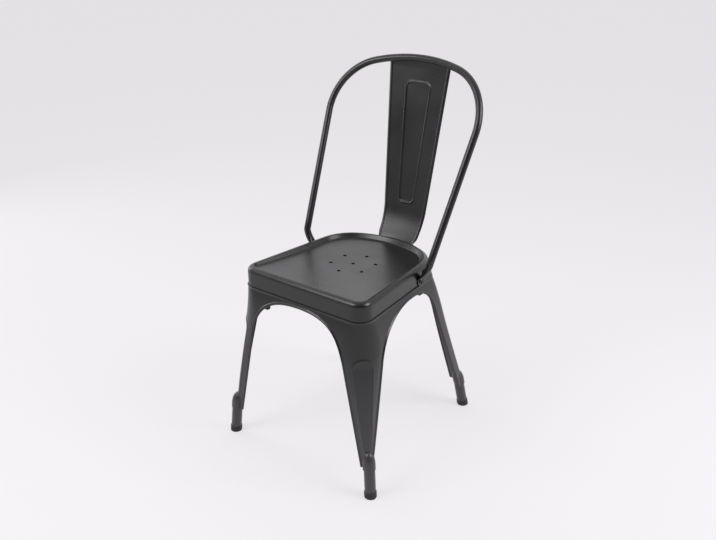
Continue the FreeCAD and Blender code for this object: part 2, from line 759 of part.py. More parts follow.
# Back splat: one pressed sheet curving down behind the seat, welded under the hoop
def splat_section(z):
    knee_z = size("splat_knee_height")
    foot_z = size("splat_foot_height")
    tab_z = size("splat_tab_top")
    tab_centre = size("seat_rear") + gap
    tab_radius = size("seat_rear_radius") + gap

    def centre_line(height):
        below = max(0.0, (knee_z - height) / (knee_z - foot_z))
        return (size("splat_knee_y") + size("splat_lean") * (height - knee_z)
                - size("splat_foot_back") * below ** 2)

    if z <= tab_z:
        centre, radius, half = tab_centre, tab_radius, size("splat_tab_half")
    elif z < foot_z:
        step = (z - tab_z) / (foot_z - tab_z)
        centre = tab_centre + (centre_line(foot_z) - tab_centre) * step ** size("splat_bend_power")
        radius = 1 / ((1 - step) / tab_radius + step / size("splat_crown_radius"))
        half = size("splat_tab_half") + (size("splat_foot_half") - size("splat_tab_half")) * step
    else:
        step = (z - foot_z) / (size("splat_top_height") - foot_z)
        centre, radius = centre_line(z), size("splat_crown_radius")
        half = size("splat_foot_half") + (size("splat_top_half") - size("splat_foot_half")) * step
    t = size("splat_thickness")
    turn = half / radius
    middle = Vector(0, centre - radius, z)

    def spot(reach, angle):
        return middle + Vector(math.sin(angle), math.cos(angle), 0) * reach

    front = [spot(radius, a) for a in (-turn, 0, turn)]
    back = [spot(radius + t, a) for a in (turn, 0, -turn)]
    return Part.Wire([
        Part.Arc(*front).toShape(), line(front[2], back[0]),
        Part.Arc(*back).toShape(), line(back[2], front[0]),
    ])


bend_steps = 14
bend_length = size("splat_knee_height") - size("splat_tab_top")
splat_heights = [size("splat_tab_bottom")]
splat_heights += [size("splat_tab_top") + bend_length * step / bend_steps for step in range(bend_steps + 1)]
splat_heights += [size("splat_top_height")]
splat = Part.makeLoft([splat_section(z) for z in splat_heights], True, True)
low_half = size("panel_low_half")
high_half = size("panel_high_half")
panel = Part.Wire(Part.makePolygon([
    Vector(-low_half, 0, size("panel_low_height")),
    Vector(low_half, 0, size("panel_low_height")),
    Vector(high_half, 0, size("panel_high_height")),
    Vector(-high_half, 0, size("panel_high_height")),
    Vector(-low_half, 0, size("panel_low_height")),
]))
panel = Part.Face(panel).extrude(Vector(0, SPAN, 0))
upright = [e for e in panel.Edges if abs(e.BoundBox.YLength - SPAN) < 0.1 and e.BoundBox.XLength < 0.1]
panel = panel.makeFillet(size("panel_corner_radius"), upright)
field = splat.common(panel)
pressed = field.copy()
pressed.translate(Vector(0, size("panel_depth"), 0))
splat = splat.cut(panel).fuse(pressed)
hoop_room = hoop_sweep(size("hoop_tube_radius") + gap, 0)
splat = splat.cut(hoop_room).cut(bores[2]).cut(bores[3])
splat_solids = sorted(splat.Solids, key=lambda s: s.Volume)
add_shape("back_splat", splat_solids[-1])


# Bolts and nuts: each starts at the outer face and points into the seat
def fastener_pair(name, point, out, clamp_out, clamp_in, head_lift):
    long = clamp_out + clamp_in + size("bolt_tail")
    bolt = doc.addObject("Part::Cylinder", f"{name}_shank")
    bolt.setExpression("Radius", "sizes.bolt_shank_radius")
    bolt.Height = long
    rotation = FreeCAD.Rotation(Vector(0, 0, 1), out)
    base = point + out * (clamp_out + head_lift - long)
    bolt.Placement = FreeCAD.Placement(base, rotation)
    head = doc.addObject("Part::Cone", f"{name}_head")
    head.setExpression("Radius1", "sizes.bolt_head_radius")
    head.setExpression("Radius2", "sizes.bolt_head_radius - sizes.bolt_head_taper")
    head.setExpression("Height", "sizes.bolt_head_height")
    head.Placement = FreeCAD.Placement(point + out * (clamp_out + head_lift), rotation)
    whole = doc.addObject("Part::Fuse", f"{name}_bolt_right")
    whole.Base = bolt
    whole.Tool = head
    other = mirror(whole, f"{name}_bolt_left")
    pair = doc.addObject("Part::Compound", f"{name}_bolts")
    pair.Links = [whole, other]
    hexagon = doc.addObject("Part::Prism", f"{name}_nut_blank")
    hexagon.Polygon = 6
    hexagon.setExpression("Circumradius", "sizes.nut_radius")
    hexagon.setExpression("Height", "sizes.nut_height")
    nut_base = point - out * (clamp_in + head_lift + size("nut_height"))
    hexagon.Placement = FreeCAD.Placement(nut_base, rotation)
    thread = doc.addObject("Part::Cylinder", f"{name}_nut_bore")
    thread.setExpression("Radius", "sizes.bolt_shank_radius + sizes.fit_gap / 3")
    thread.setExpression("Height", "3*sizes.tab_width")
    thread.Placement = FreeCAD.Placement(point - out * (2.5 * size("tab_width")), rotation)
    nut = doc.addObject("Part::Cut", f"{name}_nut_right")
    nut.Base = hexagon
    nut.Tool = thread
    other_nut = mirror(nut, f"{name}_nut_left")
    nuts = doc.addObject("Part::Compound", f"{name}_nuts")
    nuts.Links = [nut, other_nut]


wall_in = sheet_t * 2 + gap
fastener_pair("side", side_point, side_out, size("tab_thickness"), wall_in, 0)
fastener_pair("splat", rear_point, rear_out, size("splat_thickness") + gap, wall_in, gap)

doc.recompute()

NODES = [
    "seat_pan", "front_left_leg", "front_right_leg", "rear_left_leg", "rear_right_leg",
    "front_left_foot_tube", "front_right_foot_tube", "rear_left_foot_tube", "rear_right_foot_tube",
    "front_left_glide", "front_right_glide", "rear_left_glide", "rear_right_glide",
    "cross_brace_a", "cross_brace_b", "brace_rivet",
    "front_left_bumper", "front_right_bumper", "side_left_bumper", "side_right_bumper",
    "back_hoop", "back_splat", "side_bolts", "side_nuts", "splat_bolts", "splat_nuts",
]
for item in doc.Objects:
    if "Invalid" in item.State or "Error" in item.State:
        raise RuntimeError(f"{item.Name} did not build: {item.State}")
os.makedirs("parts", exist_ok=True)
for name in NODES:
    shape = doc.getObject(name).Shape
    if shape.isNull() or not shape.isValid():
        raise RuntimeError(f"{name} has no valid shape")
    extent = shape.BoundBox
    print(f"{name}: solids {len(shape.Solids)} volume {shape.Volume / 1000:.1f} cm3 "
          f"x {extent.XMin:.1f}..{extent.XMax:.1f} y {extent.YMin:.1f}..{extent.YMax:.1f} "
          f"z {extent.ZMin:.1f}..{extent.ZMax:.1f}")
    shape.exportStep(f"parts/{name}.step")
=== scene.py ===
# %% [markdown]
# # A stacking bistro chair in satin black
#
# The real chair is pressed from 1.5 mm sheet steel: a dished seat, four folded legs, a bent tube
# for the back and one broad curved splat. All of it is dipped, primed and powder coated, so its
# look is soft light sliding over rolled edges. This lesson loads the CAD frame, sets up the photo
# studio, mixes the finishes, and then models the pressed parts again with their beads and hollows.

# %% Load the frame
import math
import bpy
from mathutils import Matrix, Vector


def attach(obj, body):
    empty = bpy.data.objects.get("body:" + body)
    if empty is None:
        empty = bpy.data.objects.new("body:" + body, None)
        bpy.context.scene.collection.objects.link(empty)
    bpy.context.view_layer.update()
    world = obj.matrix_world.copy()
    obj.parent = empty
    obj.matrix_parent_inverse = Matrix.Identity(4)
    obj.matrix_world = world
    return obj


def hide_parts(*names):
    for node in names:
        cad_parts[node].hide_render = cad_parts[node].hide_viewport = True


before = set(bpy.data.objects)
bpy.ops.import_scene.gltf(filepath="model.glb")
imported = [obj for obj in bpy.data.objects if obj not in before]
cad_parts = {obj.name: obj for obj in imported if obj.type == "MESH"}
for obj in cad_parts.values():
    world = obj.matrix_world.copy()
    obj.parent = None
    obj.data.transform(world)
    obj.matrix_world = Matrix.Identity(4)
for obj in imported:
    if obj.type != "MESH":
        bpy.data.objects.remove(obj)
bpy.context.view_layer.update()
bpy.ops.object.select_all(action="DESELECT")

# %% [markdown]
# ## Camera
# The picture is taken from the right front corner, a little above the back rest. The place, the
# lens and a half degree of roll were found by matching edges of the chair, so no shift is needed.

# %% Camera
CAMERA_PLACE = Vector((1.0536, -1.33155, 1.1366))
CAMERA_TURN = math.radians(38.39)
CAMERA_RISE = math.radians(23.565)
CAMERA_ROLL = math.radians(-0.5)

camera_data = bpy.data.cameras.new("camera")
camera_data.sensor_width = 36
camera_data.lens = 40.79
camera = bpy.data.objects.new("camera", camera_data)
bpy.context.scene.collection.objects.link(camera)
camera.rotation_mode = "XYZ"
camera.location = CAMERA_PLACE
look = Vector((
    -math.sin(CAMERA_TURN) * math.cos(CAMERA_RISE),
    math.cos(CAMERA_TURN) * math.cos(CAMERA_RISE),
    -math.sin(CAMERA_RISE)))
level = look.to_track_quat("-Z", "Y").to_matrix()
right = level.col[0] * math.cos(CAMERA_ROLL) + level.col[1] * math.sin(CAMERA_ROLL)
up = -level.col[0] * math.sin(CAMERA_ROLL) + level.col[1] * math.cos(CAMERA_ROLL)
for column, axis in enumerate((right, up, -look)):
    for row in range(3):
        level[row][column] = axis[row]
camera.rotation_euler = level.to_euler()
bpy.context.scene.camera = camera
bpy.context.scene.view_settings.view_transform = "Standard"
print("camera:", [round(v, 3) for v in camera.location], "lens", camera_data.lens)

# %% [markdown]
# ## Mixing materials
# Colours are written as they look on a screen, in sRGB hex, and turned to linear light once. One
# small helper adds a node, sets it and wires it, so a material reads from top to bottom.

# %% Colour and node helpers
MM = 0.001


def hex_colour(text):
    parts = [int(text[i:i + 2], 16) / 255 for i in (1, 3, 5)]
    linear = [v / 12.92 if v <= 0.04045 else ((v + 0.055) / 1.055) ** 2.4 for v in parts]
    return (*linear, 1)


def add_node(tree, kind, settings=None, links=None):
    node = tree.nodes.new(kind)
    for name, value in (settings or {}).items():
        if isinstance(name, int) or name in node.inputs:
            node.inputs[name].default_value = value
        else:
            setattr(node, name, value)
    for name, source in (links or {}).items():
        tree.links.new(source, node.inputs[name])
    return node


def new_material(name):
    material = bpy.data.materials.new(name)
    material.use_nodes = True
    material.node_tree.nodes.clear()
    return material, material.node_tree


# %% [markdown]
# ## Studio
# The chair stands on a white floor between two soft boxes and a tall strip. Satin black shows
# hardly any colour of its own, so the white floor and the lights are what the eye sees on it. The
# floor is drawn almost evenly white for the camera and still takes the faint shadows under the
# feet. The sky is brightest behind the chair on the left, where the flat of the seat mirrors it.

# %% Floor
EVEN_SHARE = 0.62

bpy.ops.mesh.primitive_plane_add(size=80, location=(0, 0, -0.0002))
floor = bpy.context.active_object
floor.name = "studio_floor"
paper, tree = new_material("matt_white_paper")
rays = add_node(tree, "ShaderNodeLightPath")
lit = add_node(tree, "ShaderNodeBsdfDiffuse", {"Color": hex_colour("#d2d0d2")})
glow = add_node(tree, "ShaderNodeEmission", {"Color": hex_colour("#fbf9fb"), "Strength": 1.0})
seen = add_node(tree, "ShaderNodeMath", {"operation": "MAXIMUM"},
                {0: rays.outputs["Is Camera Ray"], 1: rays.outputs["Is Glossy Ray"]})
even = add_node(tree, "ShaderNodeMath", {"operation": "MULTIPLY", 1: EVEN_SHARE}, {0: seen.outputs[0]})
both = add_node(tree, "ShaderNodeMixShader", {}, {0: even.outputs[0], 1: lit.outputs[0], 2: glow.outputs[0]})
add_node(tree, "ShaderNodeOutputMaterial", {}, {"Surface": both.outputs[0]})
floor.data.materials.append(paper)

# %% Soft boxes and sky
BRIGHT_WAY = (-0.55, 0.72, 0.42)
SKY_DIM, SKY_BRIGHT = 0.14, 1.35

world = bpy.data.worlds.new("studio_air")
bpy.context.scene.world = world
world.use_nodes = True
air = world.node_tree
air.nodes.clear()
way = add_node(air, "ShaderNodeTexCoord")
facing = add_node(air, "ShaderNodeVectorMath", {"operation": "DOT_PRODUCT", 1: BRIGHT_WAY},
                  {0: way.outputs["Generated"]})
level = add_node(air, "ShaderNodeMapRange",
                 {"From Min": -0.6, "From Max": 0.95, "To Min": SKY_DIM, "To Max": SKY_BRIGHT},
                 {"Value": facing.outputs["Value"]})
looks = add_node(air, "ShaderNodeLightPath")
white = add_node(air, "ShaderNodeMath", {"operation": "MAXIMUM"},
                 {0: level.outputs["Result"], 1: looks.outputs["Is Camera Ray"]})
sky = add_node(air, "ShaderNodeBackground", {"Color": hex_colour("#efedef")}, {"Strength": white.outputs[0]})
add_node(air, "ShaderNodeOutputWorld", {}, {"Surface": sky.outputs[0]})


def soft_box(name, place, target, wide, high, power):
    data = bpy.data.lights.new(name, "AREA")
    data.shape = "RECTANGLE"
    data.size = wide
    data.size_y = high
    data.energy = power
    lamp = bpy.data.objects.new(name, data)
    bpy.context.scene.collection.objects.link(lamp)
    lamp.location = place
    lamp.rotation_euler = (Vector(target) - Vector(place)).to_track_quat("-Z", "Y").to_euler()


FRONT_RIGHT_OF_SEAT, ABOVE_SEAT = (0.1, -0.1, 0.43), (0, 0, 0.6)
soft_box("front_box", (-0.65, -1.5, 1.75), FRONT_RIGHT_OF_SEAT, 1.1, 1.1, 20)
soft_box("right_box", (1.75, 0.45, 1.6), FRONT_RIGHT_OF_SEAT, 1.1, 1.1, 24)
soft_box("left_strip", (-2.2, -0.1, 1.3), ABOVE_SEAT, 0.5, 1.8, 9)
print("studio: white floor, three soft boxes")

# %% [markdown]
# ## Satin powder coat
# Powder is sprayed dry and baked, and flows into a film about 0.08 mm thick. It keeps a faint
# orange peel, which softens every reflection. Towards the feet a painted sheen of the floor greys it.

# %% Satin black powder coat
PEEL = 1.1 * MM
# Painted sheen: from 0.36 m down to the feet the coat is painted lighter grey, standing in for light from
# the bright floor.
PAINTED_SHEEN_TOP, PAINTED_SHEEN_FOOT, PAINTED_SHEEN_SHARE = 0.36, 0.03, 0.8


def powder_coat(name, shade, roughness):
    material, tree = new_material(name)
    spot = add_node(tree, "ShaderNodeTexCoord")
    peel = add_node(tree, "ShaderNodeTexNoise", {"Scale": 1 / (2.2 * PEEL), "Detail": 2.0},
                    {"Vector": spot.outputs["Object"]})
    drift = add_node(tree, "ShaderNodeTexNoise", {"Scale": 14.0, "Detail": 3.0},
                     {"Vector": spot.outputs["Object"]})
    gloss = add_node(tree, "ShaderNodeMapRange",
                     {"From Min": 0.35, "From Max": 0.65,
                      "To Min": roughness - 0.03, "To Max": roughness + 0.04},
                     {"Value": drift.outputs["Fac"]})
    blacks = add_node(tree, "ShaderNodeValToRGB", {}, {"Fac": drift.outputs["Fac"]})
    blacks.color_ramp.elements[0].position = 0.3
    blacks.color_ramp.elements[0].color = hex_colour(shade[0])
    blacks.color_ramp.elements[1].position = 0.7
    blacks.color_ramp.elements[1].color = hex_colour(shade[1])
    place = add_node(tree, "ShaderNodeSeparateXYZ", {}, {"Vector": spot.outputs["Object"]})
    low = add_node(tree, "ShaderNodeMapRange",
                   {"From Min": PAINTED_SHEEN_TOP, "From Max": PAINTED_SHEEN_FOOT, "To Min": 0.0, "To Max": PAINTED_SHEEN_SHARE},
                   {"Value": place.outputs["Z"]})
    # Painted sheen of the floor: this mix turns the coat towards light grey lower down.
    painted_sheen = add_node(tree, "ShaderNodeMix", {"data_type": "RGBA", 7: hex_colour("#454446")},
                    {0: low.outputs["Result"], 6: blacks.outputs["Color"]})
    skin = add_node(tree, "ShaderNodeBump", {"Strength": 0.08, "Distance": 0.06 * MM},
                    {"Height": peel.outputs["Fac"]})
    coat = add_node(tree, "ShaderNodeBsdfPrincipled", {"IOR": 1.52},
                    {"Base Color": painted_sheen.outputs[2], "Roughness": gloss.outputs["Result"],
                     "Normal": skin.outputs["Normal"]})
    add_node(tree, "ShaderNodeOutputMaterial", {}, {"Surface": coat.outputs["BSDF"]})
    return material


satin_black = powder_coat("satin_black_powder_coat", ("#131315", "#18181a"), 0.3)
print("mixed:", satin_black.name)

# %% [markdown]
# ## From flat sheet to pressing
# Every pressing here starts as a flat grid, as its blank starts as flat sheet. By hand the grid
# would be pulled over the form with shrinkwrap and proportional editing. The forms follow simple
# lines, arcs and leans, so each grid point is moved straight to its place on the form instead,
# which keeps reflections clean. A Solidify modifier then gives the sheet its real 1.5 mm.

# %% Sheet helpers
SHEET = 1.5


def new_sheet(name, columns, rows, place):
    """Adds a grid and moves its points to place(column, row), given in millimetres."""
    bpy.ops.object.select_all(action="DESELECT")
    bpy.ops.mesh.primitive_grid_add(x_subdivisions=columns, y_subdivisions=rows, size=2)
    piece = bpy.context.active_object
    piece.name = name
    for point in piece.data.vertices:
        column = round((point.co.x + 1) / 2 * columns)
        row = round((point.co.y + 1) / 2 * rows)
        point.co = Vector(place(column, row)) * MM
    return piece


def join_pieces(first, *others):
    bpy.ops.object.select_all(action="DESELECT")
    for piece in (first, *others):
        piece.select_set(True)
    bpy.context.view_layer.objects.active = first
    bpy.ops.object.join()
    return first


def edit(piece, *steps):
    """Runs edit mode operators on everything in the piece."""
    bpy.ops.object.select_all(action="DESELECT")
    piece.select_set(True)
    bpy.context.view_layer.objects.active = piece
    bpy.ops.object.mode_set(mode="EDIT")
    bpy.ops.mesh.select_all(action="SELECT")
    for step in steps:
        step()
    bpy.ops.object.mode_set(mode="OBJECT")


def merge_doubles(piece, reach=0.02):
    edit(piece, lambda: bpy.ops.mesh.remove_doubles(threshold=reach * MM))


def face_outwards(piece):
    edit(piece, lambda: bpy.ops.mesh.normals_make_consistent(inside=False))


def apply_modifier(piece, kind, **settings):
    bpy.ops.object.select_all(action="DESELECT")
    piece.select_set(True)
    bpy.context.view_layer.objects.active = piece
    step = piece.modifiers.new(kind.lower(), kind)
    for name, value in settings.items():
        setattr(step, name, value)
    bpy.ops.object.modifier_apply(modifier=step.name)


def thicken(piece, thickness):
    apply_modifier(piece, "SOLIDIFY", thickness=thickness * MM, offset=-1)


def smooth(piece, degrees=40):
    bpy.ops.object.select_all(action="DESELECT")
    piece.select_set(True)
    bpy.context.view_layer.objects.active = piece
    bpy.ops.object.shade_smooth_by_angle(angle=math.radians(degrees))


def mirrored(piece, name):
    """A copy with its own mesh on the other side of the chair."""
    other = piece.copy()
    other.data = piece.data.copy()
    other.name = name
    bpy.context.scene.collection.objects.link(other)
    for point in other.data.vertices:
        point.co.x = -point.co.x
    other.data.update()
    edit(other, lambda: bpy.ops.mesh.flip_normals())
    return other


def settle(piece, material, slot, *nodes):
    """Gives a finished piece its finish and hides the CAD nodes it stands for. The slot is not used."""
    piece.data.materials.clear()
    piece.data.materials.append(material)
    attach(piece, "root")
    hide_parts(*nodes)
    print(piece.name, "faces", len(piece.data.polygons))


# %% [markdown]
# ## The line round the seat and legs
# Seen from above, the seat and the legs share one kind of outline: a straight front, two tight
# front corners, two straight sides that close in towards the back, two wide rear corners and a
# gently bowed back. Only the right half is worked out, from the middle of the front to the
# middle of the back, and the left half is its mirror image.

# %% Outline of lines and arcs
SEAT = {"front": 202.5, "rear": 145.3, "half_front": 171.7, "half_rear": 136.8,
        "front_radius": 31.3, "corner_radius": 98, "rear_radius": 210}


def wall_path(m, inset=0.0):
    """Right half of the outline as (kind, numbers, length) runs, pulled in by inset."""
    taper = (m["half_front"] - m["half_rear"]) / (m["front"] + m["rear"])
    size = math.hypot(1, taper)
    nx, ny = 1 / size, taper / size
    side = nx * m["half_front"] - ny * m["front"]
    fy = -m["front"] + m["front_radius"]
    fx = (side - m["front_radius"] - ny * fy) / nx
    ry = m["rear"] - m["rear_radius"]
    bx, by = nx * (side - m["corner_radius"]), ny * (side - m["corner_radius"]) - ry
    half = -bx * ny + by * nx
    gap = bx * bx + by * by - (m["rear_radius"] - m["corner_radius"]) ** 2
    move = math.sqrt(half * half - gap) - half
    cx, cy = bx - ny * move, ry + by + nx * move
    lean = math.atan2(ny, nx)
    crown = math.atan2(cy - ry, cx)
    front_arc = m["front_radius"] - inset
    corner_arc = m["corner_radius"] - inset
    rear_arc = m["rear_radius"] - inset
    start = (fx + nx * front_arc, fy + ny * front_arc)
    end = (cx + nx * corner_arc, cy + ny * corner_arc)
    return [
        ("line", (0.0, -m["front"] + inset, 1.0, 0.0), fx),
        ("arc", (fx, fy, front_arc, -math.pi / 2), front_arc * (lean + math.pi / 2)),
        ("line", (start[0], start[1], -ny, nx), math.dist(start, end)),
        ("arc", (cx, cy, corner_arc, lean), corner_arc * (crown - lean)),
        ("arc", (0.0, ry, rear_arc, crown), rear_arc * (math.pi / 2 - crown)),
    ]


def wall_spot(path, along):
    """Point and outward direction after walking that far."""
    for index, (kind, numbers, length) in enumerate(path):
        if along <= length or index == len(path) - 1:
            break
        along -= length
    if kind == "line":
        x, y, dx, dy = numbers
        return x + dx * along, y + dy * along, dy, -dx
    x, y, radius, begin = numbers
    angle = begin + along / radius
    return x + radius * math.cos(angle), y + radius * math.sin(angle), math.cos(angle), math.sin(angle)


def path_length(path, runs=5):
    return sum(length for kind, numbers, length in path[:runs])


print("seat outline, right half:", round(path_length(wall_path(SEAT)), 1), "mm")

# %% [markdown]
# ## Seat pan
# The pan is one deep pressing: a skirt, a rolled rim, a short slope down inside it and a dish so
# shallow that water still finds the drain holes. Rows of grid points run up the skirt, over the
# roll and down to the dish, then shrink towards the middle.

# %% Seat profile
RIM_HIGH, SEAM_HIGH, ROLL = 432, 388, 12
CREST, SLOPE_WIDE, SLOPE_DROP = 1.5, 8.5, 12
DISH_LOW, DISH_ROUND, DISH_Y = 418.5, 3000, -19.5


def soft_max(a, b, reach):
    blend = max(0.0, 1 - abs(a - b) / reach)
    return max(a, b) + reach * blend ** 3 / 6


def dish_height(x, y):
    return DISH_LOW + (x * x + (y - DISH_Y) ** 2) / (2 * DISH_ROUND)


SKIRT_ROWS = [(1.4, 388.2), (0.7, 388.1), (0.2, 388.5), (0.0, 389.3), (0.0, 392), (0.0, 397), (0.0, 403),
              (0.0, 409), (0.0, 414), (0.0, 417.5)]
ROLL_ROWS = [(ROLL * (1 - math.cos(a)), RIM_HIGH - ROLL * (1 - math.sin(a)))
             for a in [math.radians(7.5 * k) for k in range(13)]]
INNER_INSETS = [ROLL + 0.5 * k for k in range(1, 25)] + [25, 26.5]
SHRINK = [0.985, 0.96, 0.92, 0.86, 0.78, 0.69, 0.6, 0.5, 0.4, 0.3, 0.2, 0.1, 0.0]
SEAT_ROWS = len(SKIRT_ROWS) + len(ROLL_ROWS) + len(INNER_INSETS) + len(SHRINK) - 1
HALF_STATIONS = [(0, k / 10) for k in range(10)] + [(1, k / 14) for k in range(14)]
HALF_STATIONS += [(2, k / 14) for k in range(14)] + [(3, k / 16) for k in range(16)]
HALF_STATIONS += [(4, k / 10) for k in range(11)]
SEAT_COLUMNS = 2 * (len(HALF_STATIONS) - 1)


def seat_station(column, inset):
    left = column > SEAT_COLUMNS // 2
    run, share = HALF_STATIONS[SEAT_COLUMNS - column if left else column]
    path = wall_path(SEAT, inset)
    x, y, nx, ny = wall_spot(path, path_length(path, run) + share * path[run][2] - 1e-9)
    return (-x if left else x), y


def seat_place(column, row):
    if row < len(SKIRT_ROWS):
        inset, height = SKIRT_ROWS[row]
        return (*seat_station(column, inset), height)
    row -= len(SKIRT_ROWS)
    if row < len(ROLL_ROWS):
        inset, height = ROLL_ROWS[row]
        return (*seat_station(column, inset), height)
    row -= len(ROLL_ROWS)
    if row < len(INNER_INSETS):
        inset = INNER_INSETS[row]
        x, y = seat_station(column, inset)
        crest = RIM_HIGH - max(0.0, inset - ROLL - CREST) * SLOPE_DROP / SLOPE_WIDE
        crest = -soft_max(-RIM_HIGH, -crest, 1.6)
        return x, y, soft_max(crest, dish_height(x, y), 2.4)
    x, y = seat_station(column, INNER_INSETS[-1])
    share = SHRINK[row - len(INNER_INSETS)]
    x, y = x * share, DISH_Y + (y - DISH_Y) * share
    return x, y, dish_height(x, y)


seat = new_sheet("seat_pressing", SEAT_COLUMNS, SEAT_ROWS, seat_place)
merge_doubles(seat)
thicken(seat, SHEET)
print("seat rows", SEAT_ROWS, "columns", SEAT_COLUMNS)

# %% [markdown]
# ### Drain holes
# Seven holes are punched through the dish and their edges are turned down, which leaves a soft lip
# that catches the light and a short collar below. Round cutters do the punching. A small ring is
# the lip and an open tube is the collar, so no floor shows through the holes at a low angle.

# %% Punch the drain holes
HOLE, RING = 4.0, 51
LIP_OUT, LIP_ROUND, LIP_SINK = 0.25, 0.45, 0.1
COLLAR_OUT, COLLAR_DEEP, COLLAR_SINK, COLLAR_THICK = 0.4, 6, 3.2, 0.6
hole_spots = [(0, DISH_Y)]
for turn in range(30, 390, 60):
    hole_spots.append((RING * math.cos(math.radians(turn)), DISH_Y + RING * math.sin(math.radians(turn))))
bpy.ops.object.select_all(action="DESELECT")
cutters = []
for x, y in hole_spots:
    bpy.ops.mesh.primitive_cylinder_add(vertices=32, radius=HOLE * MM, depth=20 * MM,
                                        location=(x * MM, y * MM, DISH_LOW * MM))
    cutters.append(bpy.context.active_object)
cutter = join_pieces(*cutters)
bpy.ops.object.transform_apply(location=True, rotation=True, scale=True)
apply_modifier(seat, "BOOLEAN", operation="DIFFERENCE", object=cutter, solver="EXACT")
bpy.data.objects.remove(cutter)
rims = []
for x, y in hole_spots:
    dish = dish_height(x, y)
    bpy.ops.mesh.primitive_torus_add(major_segments=32, minor_segments=8,
                                     major_radius=(HOLE + LIP_OUT) * MM, minor_radius=LIP_ROUND * MM,
                                     location=(x * MM, y * MM, (dish - LIP_SINK) * MM))
    bpy.ops.object.transform_apply(location=True, rotation=True, scale=True)
    rims.append(bpy.context.active_object)
    bpy.ops.mesh.primitive_cylinder_add(vertices=32, radius=(HOLE + COLLAR_OUT) * MM,
                                        depth=COLLAR_DEEP * MM, end_fill_type="NOTHING",
                                        location=(x * MM, y * MM, (dish - COLLAR_SINK) * MM))
    bpy.ops.object.transform_apply(location=True, rotation=True, scale=True)
    collar = bpy.context.active_object
    thicken(collar, COLLAR_THICK)
    rims.append(collar)
join_pieces(seat, *rims)
smooth(seat, 35)
settle(seat, satin_black, "powder_coat", "seat_pan")

# %% [markdown]
# ## Legs
# Each leg is folded from one blank. It wraps a corner of the seat, and its sides are cut away in
# arches that meet the next leg under the middle of each side. A rolled bead stiffens the cut edge
# all the way down. The form leans out to the floor and tucks back under the seat near the top.

# %% Outer form of the legs
LOW, TUCK_START, OUTSET, KNEE_HIGH = 66, 300, 1.2, 286
REAR_HALF, REAR_LEAN = 180.4, 0.093
LEANS = {"front": (224.6, 0.02), "rear": (221, 0.3135), "half_front": (203.3, 0.05),
         "half_rear": (REAR_HALF, REAR_LEAN)}
FLAT_CROWN, CROWN_FADE = 0.0003, 70
FOLD_LOW, FOLD_GAIN, FOLD_POWER = 5, 46, 1.3


def leg_measures(z):
    """Outline of the leg form at one height."""
    tuck = max(0.0, (z - TUCK_START) / (SEAM_HIGH - TUCK_START)) ** 2
    crown_gain = 1 / (SEAT["rear_radius"] + OUTSET) - FLAT_CROWN
    crown = FLAT_CROWN + crown_gain * math.exp((z - SEAM_HIGH) / CROWN_FADE)
    m = {}
    for key, (foot, lean) in LEANS.items():
        line, at_seam = foot - lean * z, foot - lean * SEAM_HIGH
        if key == "rear":
            line += crown * (REAR_HALF - REAR_LEAN * z) ** 2 / 2
            at_seam += (FLAT_CROWN + crown_gain) * (REAR_HALF - REAR_LEAN * SEAM_HIGH) ** 2 / 2
        m[key] = line + tuck * (SEAT[key] + OUTSET - at_seam)
    knee, knee_at_seam = (z - LOW) / (KNEE_HIGH - LOW), (SEAM_HIGH - LOW) / (KNEE_HIGH - LOW)
    fold = FOLD_LOW + FOLD_GAIN * max(0.0, knee) ** FOLD_POWER
    fold_at_seam = FOLD_LOW + FOLD_GAIN * knee_at_seam ** FOLD_POWER
    m["front_radius"] = fold + tuck * (SEAT["front_radius"] + OUTSET - fold_at_seam)
    m["corner_radius"] = 6 + 24 * (z - LOW) / (SEAM_HIGH - LOW)
    m["rear_radius"] = 1 / crown
    return m


paths = {}


def leg_path(z):
    key = round(z, 4)
    if key not in paths:
        paths[key] = wall_path(leg_measures(z))
    return paths[key]


def corner_at(path, place):
    """How far along the outline the middle of that corner is."""
    if place == "front":
        return path[0][2] + path[1][2] / 2
    return path_length(path, 3) + path[3][2] / 2


def along_front(path, x):
    if x <= path[0][2]:
        return x
    cx, cy, radius, begin = path[1][1]
    return path[0][2] + radius * math.asin(min(1.0, (x - cx) / radius))


def along_side(path, y):
    return path_length(path, 2) + (y - path[2][1][1]) / path[2][1][3]


def along_rear(path, x):
    radius = path[4][1][2]
    return path_length(path) - radius * math.asin(x / radius)


# %% [markdown]
# ### Arch edges
# An arch edge is a straight leaning cut up to a shoulder, then one free curve to the middle. The
# free curve is a Bezier, the same curve that a path has in Blender, with two handles.

# %% Arch edges
def unit2(x, y):
    size = math.hypot(x, y)
    return x / size, y / size


def handle_shares(t):
    """How much each of a Bezier curve's four handles counts at t."""
    return (1 - t) ** 3, 3 * t * (1 - t) ** 2, 3 * t * t * (1 - t), t ** 3


class Edge:
    """Cut edge of a leg: shoulder place and height, lean, handle lengths, apex place and height."""

    def __init__(self, at, high, lean, rise, crown, apex, top):
        self.at, self.high, self.lean = at, high, lean
        way = unit2(-lean, 1)
        inward = 1 if apex > at else -1
        self.poles = [(at, high), (at + way[0] * rise, high + way[1] * rise),
                      (apex - inward * crown, top), (apex, top)]

    def low_spot(self, z):
        return self.at + self.lean * (self.high - z), z

    def curve_spot(self, t):
        shares = handle_shares(t)
        return (sum(w * p[0] for w, p in zip(shares, self.poles)),
                sum(w * p[1] for w, p in zip(shares, self.poles)))


FRONT_EDGE = Edge(127.7, KNEE_HIGH, 0.218, 62, 88, 0, 377)
REAR_EDGE = Edge(113, 280, 0.09, 60, 55, 0, 372)
SIDE_FRONT_EDGE = Edge(-149, 289, -0.2576, 50, 75, -14.5, 373)
SIDE_REAR_EDGE = Edge(78.5, 315, 0.379, 50, 55, -14.5, 373)

# %% [markdown]
# ### Bead, hollow and socket
# The bead is a soft wave, 3.2 mm wide each side of its crest, and the raw edge turns in below it.
# The front legs carry a long hollow pressed into the corner, widest and deepest at its round top
# end. At the foot the sheet is pressed round the socket for the foot tube.

